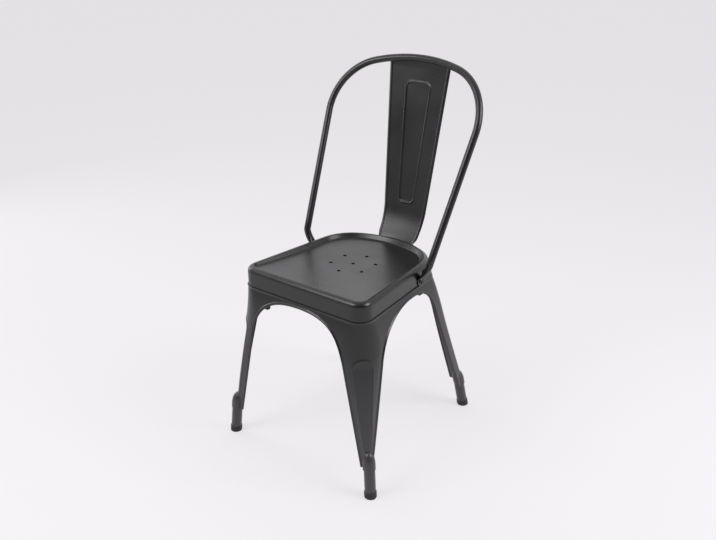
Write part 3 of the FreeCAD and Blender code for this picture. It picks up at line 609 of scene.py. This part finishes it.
# %% Relief of the pressing
BEAD_STEPS = [0, 0.4, 0.9, 1.5, 2.2, 3.0, 3.8, 4.6, 5.4, 6.2, 7.0, 7.8, 8.8]
BEAD_WIDE = BEAD_STEPS[-1]
TURN_IN, TURN_DEEP, BEAD_SPAN, BEAD_CREST = 1.2, 1.3, 6.4, 2.4


def bead_height(distance):
    if distance < TURN_IN:
        return -TURN_DEEP * (1 - distance / TURN_IN) ** 1.5
    if distance < TURN_IN + BEAD_SPAN:
        return BEAD_CREST * math.sin(math.pi * (distance - TURN_IN) / BEAD_SPAN)
    return 0.0


def ease(value):
    value = min(1.0, max(0.0, value))
    return value * value * (3 - 2 * value)


HOLLOW_LOW, HOLLOW_HIGH, HOLLOW_LOW_HALF, HOLLOW_HIGH_HALF = 112, 284, 8.5, 21.5
HOLLOW_LOW_DEEP, HOLLOW_HIGH_DEEP, RIDGE_HIGH, RIDGE_WIDE = 1.3, 4.2, 0.9, 1.8


def hollow_depth(u, z):
    """Depth of the long hollow in the corner of a front leg, with a low ridge left round it."""
    share = min(1.0, max(0.0, (z - HOLLOW_LOW) / (HOLLOW_HIGH - HOLLOW_LOW)))
    half = HOLLOW_LOW_HALF + (HOLLOW_HIGH_HALF - HOLLOW_LOW_HALF) * share
    past = max(0.0, z - HOLLOW_HIGH, HOLLOW_LOW - z)
    reach = math.hypot(u, past)
    bottom = HOLLOW_LOW_DEEP + (HOLLOW_HIGH_DEEP - HOLLOW_LOW_DEEP) * share
    deep = bottom * max(0.0, 1 - (reach / half) ** 2) ** 0.7
    return deep - RIDGE_HIGH * math.exp(-((reach - half - RIDGE_WIDE) / RIDGE_WIDE) ** 2)


FEET = {"front": ((204.4, -223.4), (-0.09, 0.06)), "rear": ((169.7, 207.2), (-0.09, -0.2))}
SOCKET, SOCKET_TOP, SHOULDER = 14.0, 80, 26
SOCKET_SKIN, SOCKET_BLEND, SLEEVE_GAP = 0.3, 4.0, 0.4


def press_round_socket(place, x, y, z):
    """Pushes a point of the sheet out to the socket round the foot tube."""
    if z > SOCKET_TOP + SHOULDER + 8:
        return x, y, z
    (fx, fy), (lx, ly) = FEET[place]
    ax, ay = fx + lx * z, fy + ly * z
    reach = math.hypot(x - ax, y - ay)
    over = max(0.0, z - SOCKET_TOP) / SHOULDER
    wanted = (SOCKET + SOCKET_SKIN) * math.sqrt(max(0.0, 1 - over ** 2))
    if reach < 0.01 or wanted <= 0:
        return x, y, z
    new = soft_max(reach, wanted, SOCKET_BLEND)
    new = reach + (new - reach) * ease(wanted / SOCKET * 1.3) * ease(reach / SOCKET_BLEND)
    return ax + (x - ax) * new / reach, ay + (y - ay) * new / reach, z


# %% [markdown]
# ### One leg from three panels
# The trunk panel runs from one cut edge round the corner to the other. Two wing panels carry on
# under the seat to the middle of each side. Their grid lines start square to the cut edge, so the
# bead stays even, and fan out to the seam. Along the seam a small hem closes onto the seat.

# %% Leg panels
TRUNK_HIGH, FILL, WING, SEAM_BEAD = 150, 34, 44, 1.5
HEM = {"front": [(0.0, 0.45), (0.2, 1.0), (0.55, 1.3), (1.0, 1.35)],
       "rear": [(0.0, 0.45), (0.1, 0.8), (0.2, 1.0), (0.4, 1.2), (0.55, 1.3), (0.7, 1.35), (0.85, 1.35),
                (1.0, 1.35)]}
CORNER_SHARE = {"front": 0.36, "rear": 0.34}
SEAM_BEAD_WIDE, SEAT_MIDDLE_Y, CLOSER_ROWS = 3.6, -20, 1.3
SHOULDER_Y, SHOULDER_X, SHOULDER_RISE = 39, 54, 31


def bearing_spot(path, x, y):
    """Point of that outline seen in the same direction from the middle of the seat."""
    wanted = math.atan2(y - SEAT_MIDDLE_Y, x)
    low, high = 0.0, path_length(path)
    for step in range(40):
        middle = (low + high) / 2
        px, py, nx, ny = wall_spot(path, middle)
        if math.atan2(py - SEAT_MIDDLE_Y, px) < wanted:
            low = middle
        else:
            high = middle
    return px, py


def seam_bead(z):
    return SEAM_BEAD * ease(1 - (SEAM_HIGH - z) / SEAM_BEAD_WIDE)


def leg_point(place, u, z, bead_distance):
    path = leg_path(z)
    x, y, nx, ny = wall_spot(path, max(0.0, corner_at(path, place) + u))
    out = bead_height(bead_distance) + seam_bead(z)
    if place == "front":
        out -= hollow_depth(u, z)
    return press_round_socket(place, x + nx * out, y + ny * out, z)


def edge_turn(place, way, spot):
    """The cut edge's distance from the corner, measured round the outline."""
    value, z = spot
    path = leg_path(z)
    if way == "side":
        along = along_side(path, value)
    elif place == "front":
        along = along_front(path, max(0.0, value))
    else:
        along = along_rear(path, max(0.0, value))
    return along - corner_at(path, place), z


def across(start, end):
    """Points on the line from a cut edge to the corner or the seam, close together at the bead."""
    length = math.dist(start, end)
    scale = min(1.0, (length - 1.0) / BEAD_WIDE)
    steps = [d * scale for d in BEAD_STEPS]
    steps += [steps[-1] + (length - steps[-1]) * k / FILL for k in range(1, FILL + 1)]
    line = []
    for distance in steps:
        share = distance / length
        line.append((start[0] + (end[0] - start[0]) * share, start[1] + (end[1] - start[1]) * share,
                     distance / scale))
    return line


def trunk_line(place, way, edge, step):
    z = LOW + (SEAM_HIGH - LOW) * (1 - (1 - step / TRUNK_HIGH) ** CLOSER_ROWS)
    if z <= edge.high:
        spot = edge.low_spot(z)
    else:
        spot = edge.curve_spot(CORNER_SHARE[place] * (z - edge.high) / (SEAM_HIGH - edge.high))
    return across(edge_turn(place, way, spot), (0.0, z))


def wing_line(place, way, edge, step):
    share = step / WING
    spot = edge.curve_spot(CORNER_SHARE[place] + (1 - CORNER_SHARE[place]) * share)
    path = leg_path(SEAM_HIGH)
    corner = corner_at(path, place)
    if way == "side":
        middle = along_side(path, edge.poles[3][0]) - corner
    else:
        middle = -corner if place == "front" else path_length(path) - corner
    return across(edge_turn(place, way, spot), (middle * share, SEAM_HIGH))


def hem_point(place, u, row):
    """Rows above the seam: a small hem, and behind the back rest a shoulder up the seat wall."""
    path = leg_path(SEAM_HIGH)
    x, y, nx, ny = wall_spot(path, max(0.0, corner_at(path, place) + u))
    rows = HEM[place]
    inward, rise = rows[row]
    shoulder = 0.0
    if place == "rear":
        shoulder = ease((y - SHOULDER_Y) / 3) * ease((x - SHOULDER_X) / 3)
    part = (row + 1) / len(rows)
    inward += (part - inward) * shoulder
    rise += (SHOULDER_RISE * part - rise) * shoulder
    gap = -0.3 - 1.5 * shoulder
    sx, sy = bearing_spot(wall_path(SEAT, gap), x, y)
    bead = SEAM_BEAD * (1 - inward) * (1 - shoulder * part)
    x, y = x + nx * bead, y + ny * bead
    return x + (sx - x) * inward, y + (sy - y) * inward, SEAM_HIGH + rise


def make_leg(place):
    straight_edge = FRONT_EDGE if place == "front" else REAR_EDGE
    side_edge = SIDE_FRONT_EDGE if place == "front" else SIDE_REAR_EDGE
    order = [(place, straight_edge), ("side", side_edge)]
    if place == "rear":
        order.reverse()
    trunk = []
    for step in range(TRUNK_HIGH + 1):
        first = trunk_line(place, *order[0], step)
        second = trunk_line(place, *order[1], step)
        trunk.append([leg_point(place, *p) for p in first] + [leg_point(place, *p) for p in second[-2::-1]])
    wings = []
    for turn, (way, edge) in enumerate(order):
        wing = []
        for step in range(WING + 1):
            line = wing_line(place, way, edge, step)
            points = [leg_point(place, *p) for p in line]
            points += [hem_point(place, line[-1][0], row) for row in range(len(HEM[place]))]
            wing.append(points)
        if turn == 0:
            wing.reverse()
        wings.append(wing)
    panels = [new_sheet(f"{place}_trunk", len(trunk[0]) - 1, TRUNK_HIGH, lambda c, r: trunk[r][c])]
    for wing in wings:
        panels.append(new_sheet(f"{place}_wing", WING, len(wing[0]) - 1, lambda c, r: wing[c][r]))
    leg = join_pieces(*panels)
    merge_doubles(leg, 0.01)
    thicken(leg, SHEET)
    (fx, fy), (lx, ly) = FEET[place]
    bore, sleeve = SOCKET - SHEET, SOCKET - SLEEVE_GAP
    rings = [(bore, LOW), (sleeve - 0.4, LOW), (sleeve, LOW + 0.5), (sleeve, SOCKET_TOP)]
    for radius, rise, degrees in ((sleeve, SHOULDER - SLEEVE_GAP, range(10, 91, 10)),
                                  (bore, SHOULDER - SHEET, range(90, -1, -10))):
        for turn in degrees:
            angle = math.radians(turn)
            rings.append((radius * math.cos(angle), SOCKET_TOP + rise * math.sin(angle)))
    rings.append((bore, LOW))

    def socket_place(column, row):
        radius, z = rings[row]
        angle = 2 * math.pi * column / 40
        return fx + lx * z + radius * math.cos(angle), fy + ly * z + radius * math.sin(angle), z

    socket = new_sheet(f"{place}_socket", 40, len(rings) - 1, socket_place)
    merge_doubles(socket, 0.01)
    face_outwards(socket)
    leg = join_pieces(leg, socket)
    leg.name = f"{place}_right_leg_pressing"
    smooth(leg, 35)
    return leg


for place in ("front", "rear"):
    leg = make_leg(place)
    other = mirrored(leg, f"{place}_left_leg_pressing")
    settle(leg, satin_black, "powder_coat", f"{place}_right_leg")
    settle(other, satin_black, "powder_coat", f"{place}_left_leg")

# %% [markdown]
# ## Back hoop
# The back is one steel tube, 16 mm across, bent in four places. Its ends are pressed flat into
# narrow tabs that bolt to the sides of the seat. A round profile walks along the tube's middle
# line, and near the ends the same profile grows wider and flatter, as pressed tube does.

# %% Middle line of the hoop
TUBE = 8.0
BEND = Vector((175.8, 23.1, 441.3))
CORNER = Vector((210.7, 190.9, 804.9))
PEAK = Vector((0, 229, 841))
TOP_ROUND = 345
TAB_Y, TAB_WIDE, TAB_THIN, TAB_SQUARE = 28, 10.0, 1.5, 4.0


def hoop_arcs():
    """Touch points and arcs of the right half, from the bend to the peak."""
    upward = (CORNER - BEND).normalized()
    fall = Vector((0, CORNER.y - PEAK.y, CORNER.z - PEAK.z))
    drop, fall = fall.length, fall.normalized()
    tangent = math.sqrt(CORNER.x ** 2 + drop ** 2 - 2 * drop * TOP_ROUND)
    away = math.hypot(CORNER.x, drop - TOP_ROUND)
    angle = math.atan2(drop - TOP_ROUND, CORNER.x) - math.acos(TOP_ROUND / away)
    sideways = Vector((TOP_ROUND * math.cos(angle), 0, 0))
    touch = PEAK + sideways + fall * (TOP_ROUND + TOP_ROUND * math.sin(angle))
    return upward, fall, CORNER - upward * tangent, touch


def walk_arc(start, corner, end, steps):
    """Points on the round bend that leaves start and reaches end, both tangent to the corner."""
    a, b = (start - corner).normalized(), (end - corner).normalized()
    half = a.angle(b) / 2
    reach = (start - corner).length
    radius = reach * math.tan(half)
    centre = corner + (a + b).normalized() * (radius / math.sin(half))
    first, last = (start - centre).normalized(), (end - centre).normalized()
    sweep = first.angle(last)
    side = (last - first * first.dot(last)).normalized()
    return [centre + (first * math.cos(sweep * k / steps) + side * math.sin(sweep * k / steps)) * radius
            for k in range(steps + 1)]


upward, fall, low_touch, touch = hoop_arcs()
SIDE_TAPER = 0.10035
side_size = math.hypot(1, SIDE_TAPER)
WALL_OUT = Vector((1 / side_size, SIDE_TAPER / side_size, 0))
WALL_ALONG = Vector((-WALL_OUT.y, WALL_OUT.x, 0))


def side_wall(y, z):
    return Vector((SEAT["half_front"] - SIDE_TAPER * (y + SEAT["front"]), y, z))


tab_line = side_wall(TAB_Y, 0) + WALL_OUT * TAB_THIN
end_handles = [Vector((tab_line.x, TAB_Y, 404)), Vector((tab_line.x + 4, TAB_Y, 412)),
               Vector((171.5, 24.5, 424)), BEND + upward * 8]
TAB_END = [(389.2, 0.6), (389.6, 3.2), (390.6, 5.6), (392.3, 7.6), (394.6, 9.0), (397.4, 9.8),
           (400.5, TAB_WIDE)]
ENDS = [(Vector((tab_line.x, TAB_Y, z)), wide, TAB_THIN, TAB_SQUARE) for z, wide in TAB_END]


def end_curve(t):
    spot = Vector((0, 0, 0))
    for share, handle in zip(handle_shares(t), end_handles):
        spot += handle * share
    return spot


half_line = list(ENDS)
for step in range(25):
    t = step / 24
    part = ease(t * 1.05)
    wide = TAB_WIDE + (TUBE - TAB_WIDE) * part
    thin = TAB_THIN + (TUBE - TAB_THIN) * part ** 1.3
    half_line.append((end_curve(t), wide, thin, TAB_SQUARE + (2.0 - TAB_SQUARE) * part))
for step in range(1, 13):
    half_line.append((end_curve(1.0).lerp(low_touch, step / 12), TUBE, TUBE, 2.0))
for spot in walk_arc(low_touch, CORNER, touch, 36)[1:]:
    half_line.append((spot, TUBE, TUBE, 2.0))
centre = PEAK + fall * TOP_ROUND
sweep = (touch - centre).angle(PEAK - centre)
for step in range(1, 33):
    angle = sweep * (1 - step / 32)
    spot = centre + Vector((1, 0, 0)) * TOP_ROUND * math.sin(angle) - fall * TOP_ROUND * math.cos(angle)
    half_line.append((spot, TUBE, TUBE, 2.0))
hoop_line = half_line + [(Vector((-s.x, s.y, s.z)), w, t, p) for s, w, t, p in half_line[-2::-1]]
print("hoop line:", len(hoop_line), "sections")

# %% Tube round the line
AROUND = 32


def hoop_place(column, row):
    spot, wide, thin, power = hoop_line[row]
    before = hoop_line[max(0, row - 1)][0]
    after = hoop_line[min(len(hoop_line) - 1, row + 1)][0]
    way = (after - before).normalized()
    along = WALL_ALONG if spot.x >= 0 else Vector((-WALL_ALONG.x, WALL_ALONG.y, 0))
    blend_in = ease(1 - abs(spot.x) / 60)
    along = along.lerp(Vector((0, 1, 0)), blend_in)
    across_way = (along - way * along.dot(way)).normalized()
    thin_way = way.cross(across_way)
    angle = 2 * math.pi * column / AROUND
    c, s = math.cos(angle), math.sin(angle)
    c = math.copysign(abs(c) ** (2 / power), c)
    s = math.copysign(abs(s) ** (2 / power), s)
    return spot + across_way * wide * c + thin_way * thin * s


hoop = new_sheet("back_hoop_tube", AROUND, len(hoop_line) - 1, hoop_place)
merge_doubles(hoop)
edit(hoop, lambda: bpy.ops.mesh.select_all(action="DESELECT"),
     lambda: bpy.ops.mesh.select_non_manifold(),
     lambda: bpy.ops.mesh.edge_face_add())
face_outwards(hoop)
smooth(hoop, 45)
settle(hoop, satin_black, "powder_coat", "back_hoop")

# %% [markdown]
# ## Back splat
# The splat is a long tapered sheet with a slight crown across it. A tapered panel is pressed into
# it for stiffness, its long edges are rolled, and its foot bends forward to a tab that is bolted
# behind the seat. The head is welded under the hoop. Grid lines gather where the relief is.

# %% Splat form
KNEE_Z, FOOT_Z, TAB_Z, TAB_LOW_Z, TOP_Z, TAPER_END_Z = 500, 434, 416, 389, 832, 826
KNEE_Y, SPLAT_LEAN, FOOT_SWEEP, HEAD_Y, SPLAT_CROWN, TAB_ROUND = 183.6, 0.164, 18.7, 236.6, 700, 8
FOOT_HALF, TOP_HALF, TAB_HALF = 55.0, 82.6, 46.0
PANEL_LOW, PANEL_HIGH, PANEL_LOW_HALF, PANEL_HIGH_HALF, PANEL_ROUND = 510, 783, 18.7, 32.6, 10
RIB_HIGH, RIB_AWAY, RIB_WIDE, PANEL_DEEP, PANEL_RAMP = 1.4, 1.6, 1.5, 1.3, 2.6
CURL_HIGH, CURL_AWAY, CURL_WIDE, EDGE_DROP, EDGE_WIDE = 1.3, 4.6, 1.7, 1.6, 2.6


def splat_middle(z):
    below = max(0.0, (KNEE_Z - z) / (KNEE_Z - FOOT_Z))
    return KNEE_Y + SPLAT_LEAN * (z - KNEE_Z) - FOOT_SWEEP * below ** 2


def splat_numbers(z):
    """Middle, crown radius and half width at one height."""
    tab_middle, tab_round = SEAT["rear"] + 0.3, SEAT["rear_radius"] + 0.3
    if z <= TAB_Z:
        drop = max(0.0, TAB_ROUND - (z - TAB_LOW_Z))
        corner = math.sqrt(max(0.0, TAB_ROUND ** 2 - drop * drop))
        return tab_middle, tab_round, TAB_HALF - TAB_ROUND + corner
    if z < FOOT_Z:
        step = (z - TAB_Z) / (FOOT_Z - TAB_Z)
        middle = tab_middle + (splat_middle(FOOT_Z) - tab_middle) * step ** 1.4
        crown = 1 / ((1 - step) / tab_round + step / SPLAT_CROWN)
        return middle, crown, TAB_HALF + (FOOT_HALF - TAB_HALF) * step
    step = (z - FOOT_Z) / (TAPER_END_Z - FOOT_Z)
    return min(splat_middle(z), HEAD_Y), SPLAT_CROWN, FOOT_HALF + (TOP_HALF - FOOT_HALF) * step


def panel_half(z):
    share = (z - PANEL_LOW) / (PANEL_HIGH - PANEL_LOW)
    return PANEL_LOW_HALF + (PANEL_HIGH_HALF - PANEL_LOW_HALF) * share


def panel_distance(x, z):
    """Distance inside the tapered panel's outline, negative outside."""
    a = panel_half(z) - abs(x)
    b = min(z - PANEL_LOW, PANEL_HIGH - z)
    if a < PANEL_ROUND and b < PANEL_ROUND:
        return PANEL_ROUND - math.hypot(PANEL_ROUND - a, PANEL_ROUND - b)
    return min(a, b)


def splat_relief(x, z, half):
    """Forward relief: a rounded rib along the panel's outline, the sunk panel and the rolled edges."""
    d = panel_distance(x, z)
    rib = RIB_HIGH * math.exp(-((d + RIB_AWAY) / RIB_WIDE) ** 2)
    out = rib - PANEL_DEEP * ease((d + 0.2) / PANEL_RAMP)
    edge = half - abs(x)
    if z > TAB_Z:
        fade = ease((z - TAB_Z) / 20)
        curl = CURL_HIGH * math.exp(-((edge - CURL_AWAY) / CURL_WIDE) ** 2)
        out += fade * (curl - EDGE_DROP * ease(1 - edge / EDGE_WIDE) ** 1.2)
    return out


SPLAT_HEIGHTS = [TAB_LOW_Z, 389.6, 391, 393, 395, 397, 400, 404, 408, 412]
SPLAT_HEIGHTS += [TAB_Z + 3 * k for k in range(28)] + [KNEE_Z, 503, 505.5]
SPLAT_HEIGHTS += [PANEL_LOW - 3 + 0.9 * k for k in range(17)]
SPLAT_HEIGHTS += [PANEL_LOW + 14 + 4 * k for k in range(61)]
SPLAT_HEIGHTS += [PANEL_HIGH - 15 + 1.0 * k for k in range(20)]
SPLAT_HEIGHTS += [791, 796, 802, 808, 814, 820, TAPER_END_Z, TOP_Z]


def splat_columns(z, half):
    """Places across the right half, close together at the panel's side and at the rolled edge."""
    panel = min(max(panel_half(z), 15.0), half - 18)
    inner = [max(0.0, panel - 10) * k / 6 for k in range(6)]
    ramp = [panel - 10 + 1.0 * k for k in range(16)]
    outer = [panel + 6 + (half - 9 - panel - 6) * k / 7 for k in range(7)]
    edge = [half - 9 + 9 * k / 14 for k in range(15)]
    return inner + ramp + outer + edge


columns_right = len(splat_columns(500, 60))


def splat_place(column, row):
    z = SPLAT_HEIGHTS[row]
    middle, crown, half = splat_numbers(z)
    index = column - (columns_right - 1)
    x = splat_columns(z, half)[abs(index)]
    out = splat_relief(x, z, half)
    angle = x / crown
    reach = crown - out
    y = middle - crown + math.cos(angle) * reach
    return math.copysign(1, index) * math.sin(angle) * reach, y, z


splat = new_sheet("back_splat_pressing", 2 * (columns_right - 1), len(SPLAT_HEIGHTS) - 1, splat_place)
face_outwards(splat)
thicken(splat, SHEET)
smooth(splat, 35)
settle(splat, satin_black, "powder_coat", "back_splat")

# %% [markdown]
# ## Feet
# A short tube leaves the socket of each leg and stands in a moulded rubber glide. The glide has a
# rolled lip on top, a shallow groove round it and a sole that is cut level with the floor.

# %% Moulded rubber
def rubber(name, shade):
    material, tree = new_material(name)
    spot = add_node(tree, "ShaderNodeTexCoord")
    grain = add_node(tree, "ShaderNodeTexNoise", {"Scale": 1 / (1.2 * MM), "Detail": 4.0},
                     {"Vector": spot.outputs["Object"]})
    scuff = add_node(tree, "ShaderNodeTexNoise", {"Scale": 60.0, "Detail": 5.0, "Roughness": 0.7},
                     {"Vector": spot.outputs["Object"]})
    tone = add_node(tree, "ShaderNodeValToRGB", {}, {"Fac": scuff.outputs["Fac"]})
    tone.color_ramp.elements[0].position = 0.42
    tone.color_ramp.elements[0].color = hex_colour(shade[0])
    tone.color_ramp.elements[1].position = 0.68
    tone.color_ramp.elements[1].color = hex_colour(shade[1])
    skin = add_node(tree, "ShaderNodeBump", {"Strength": 0.25, "Distance": 0.15 * MM},
                    {"Height": grain.outputs["Fac"]})
    body = add_node(tree, "ShaderNodeBsdfPrincipled", {"IOR": 1.5, "Roughness": 0.62},
                    {"Base Color": tone.outputs["Color"], "Normal": skin.outputs["Normal"]})
    add_node(tree, "ShaderNodeOutputMaterial", {}, {"Surface": body.outputs["BSDF"]})
    return material


foot_rubber = rubber("moulded_black_rubber", ("#262627", "#323232"))

# %% Turned pieces
def turn_profile(name, profile, place, axis, around=48):
    """Spins a profile of (radius, height) pairs round an axis, as on a lathe."""
    axis = Vector(axis).normalized()
    side = axis.orthogonal().normalized()
    other = axis.cross(side)

    def turned(column, row):
        radius, high = profile[row]
        angle = 2 * math.pi * column / around
        return Vector(place) + axis * high + (side * math.cos(angle) + other * math.sin(angle)) * radius

    piece = new_sheet(name, around, len(profile) - 1, turned)
    merge_doubles(piece)
    face_outwards(piece)
    return piece


GLIDE = [(0, -6), (12.6, -6), (13.3, 0.0), (13.6, 1.2), (13.6, 7.2), (13.2, 7.7), (13.2, 8.6),
         (13.6, 9.1), (13.6, 12.2), (13.45, 13.2), (13.1, 13.8), (12.7, 14), (12.5, 13.6), (12.5, 4), (0, 4)]
for place in ("front", "rear"):
    (fx, fy), (lx, ly) = FEET[place]
    glide = turn_profile(f"{place}_right_glide_rubber", GLIDE, (fx, fy, 0), (lx, ly, 1))
    for point in glide.data.vertices:
        point.co.z = max(0.0, point.co.z)
    merge_doubles(glide)
    smooth(glide, 40)
    other = mirrored(glide, f"{place}_left_glide_rubber")
    settle(glide, foot_rubber, "foot_rubber", f"{place}_right_glide")
    settle(other, foot_rubber, "foot_rubber", f"{place}_left_glide")

# %% [markdown]
# ## Bolts, nuts and rivet
# The hoop's tabs and the splat's tab are held by button head screws with a round socket, and by
# nuts inside the seat wall. The two braces turn on one rivet with domed heads.

# %% Screws
fixing_black = powder_coat("black_zinc_fixing", ("#121213", "#171718"), 0.26)
SCREW = [(0, 1.2), (2.2, 1.2), (2.35, 2.72), (2.6, 2.8), (3.4, 2.5), (4.2, 1.7), (4.6, 0.8),
         (4.6, 0.1), (4.5, 0), (3.0, 0.0), (3.0, -11.0), (2.4, -11.6), (0, -11.6)]


def screw(name, point, out):
    piece = turn_profile(name, SCREW, point, out, 36)
    smooth(piece, 40)
    return piece


def hexagon_nut(name, point, out, low, high):
    profile = [(3.1, low), (4.9, low), (5.8, low + 0.5), (5.8, high - 0.5), (4.9, high), (3.1, high),
               (3.1, low)]
    piece = turn_profile(name, profile, point, out, 6)
    smooth(piece, 20)
    return piece


SIDE_SCREW_Z, REAR_SCREW_X, REAR_SCREW_Z, NUT_HIGH = 397.5, 30, 402, 4.8
side_spot = side_wall(TAB_Y, SIDE_SCREW_Z)
rear_reach = math.sqrt(SEAT["rear_radius"] ** 2 - REAR_SCREW_X ** 2)
rear_spot = Vector((REAR_SCREW_X, SEAT["rear"] - SEAT["rear_radius"] + rear_reach, REAR_SCREW_Z))
REAR_OUT = Vector((REAR_SCREW_X, rear_reach, 0)).normalized()
for group, point, out, lift, nut_top in (("side", side_spot, WALL_OUT, 3.0, -3.3),
                                         ("splat", rear_spot, REAR_OUT, 2.1, -3.0)):
    right_screw = screw(f"{group}_screws", point + out * lift, out)
    left_screw = mirrored(right_screw, "left_screw")
    settle(join_pieces(right_screw, left_screw), fixing_black, "fastener_black", f"{group}_bolts")
    right_nut = hexagon_nut(f"{group}_hexagon_nuts", point, out, nut_top - NUT_HIGH, nut_top)
    left_nut = mirrored(right_nut, "left_nut")
    settle(join_pieces(right_nut, left_nut), fixing_black, "fastener_black", f"{group}_nuts")

RIVET = [(0, -2.5), (3.0, -2.4), (5.2, -1.7), (6.5, -0.7), (6.9, 0), (4, 0), (4, 6), (6.9, 6),
         (6.5, 6.7), (5.2, 7.7), (3.0, 8.4), (0, 8.5)]
rivet = turn_profile("brace_rivet_domed", RIVET, (0, -18, 352), (0, 0, 1), 40)
smooth(rivet, 40)
settle(rivet, fixing_black, "fastener_black", "brace_rivet")

# %% [markdown]
# ## Stacking bumpers
# Small rubber blocks inside the aprons keep one chair off the next in a stack. Each starts as a
# copy of its CAD block. The copy's loose triangles are merged, and a bevel rounds its edges. Three
# of them are then made shorter than the CAD blocks, so that they hang less far below the arches.

# %% Bumpers
TRIMMED = {"front_right_bumper": 10.0, "side_right_bumper": 14.0, "side_left_bumper": 14.0}
bumper_rubber = rubber("moulded_bumper_rubber", ("#202021", "#2d2c2c"))
for node in ("front_right_bumper", "front_left_bumper", "side_right_bumper", "side_left_bumper"):
    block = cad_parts[node].copy()
    block.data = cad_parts[node].data.copy()
    for key in list(block.keys()):
        del block[key]
    block.parent = None
    block.name = f"{node}_rubber"
    bpy.context.scene.collection.objects.link(block)
    merge_doubles(block)
    edit(block, lambda: bpy.ops.mesh.dissolve_limited(angle_limit=math.radians(3)))
    heights = [point.co.z for point in block.data.vertices]
    top, low = max(heights), min(heights)
    kept = 1 - TRIMMED.get(node, 0.0) * MM / (top - low)
    for point in block.data.vertices:
        point.co.z = top - (top - point.co.z) * kept
    print(node, "was", round((top - low) / MM, 1), "mm high")
    apply_modifier(block, "BEVEL", width=1.2 * MM, segments=3, limit_method="ANGLE",
                   angle_limit=math.radians(40))
    smooth(block, 35)
    settle(block, bumper_rubber, "bumper_rubber", node)

# %% [markdown]
# ## What stays as built
# The foot tubes and the crossed braces keep their CAD shape and only take the satin black coat.

# %% Dress the CAD pieces that stay
for name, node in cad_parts.items():
    if not node.hide_render:
        for spot in node.material_slots:
            spot.link = "OBJECT"
            spot.material = satin_black
        print("keeps its CAD shape:", name)
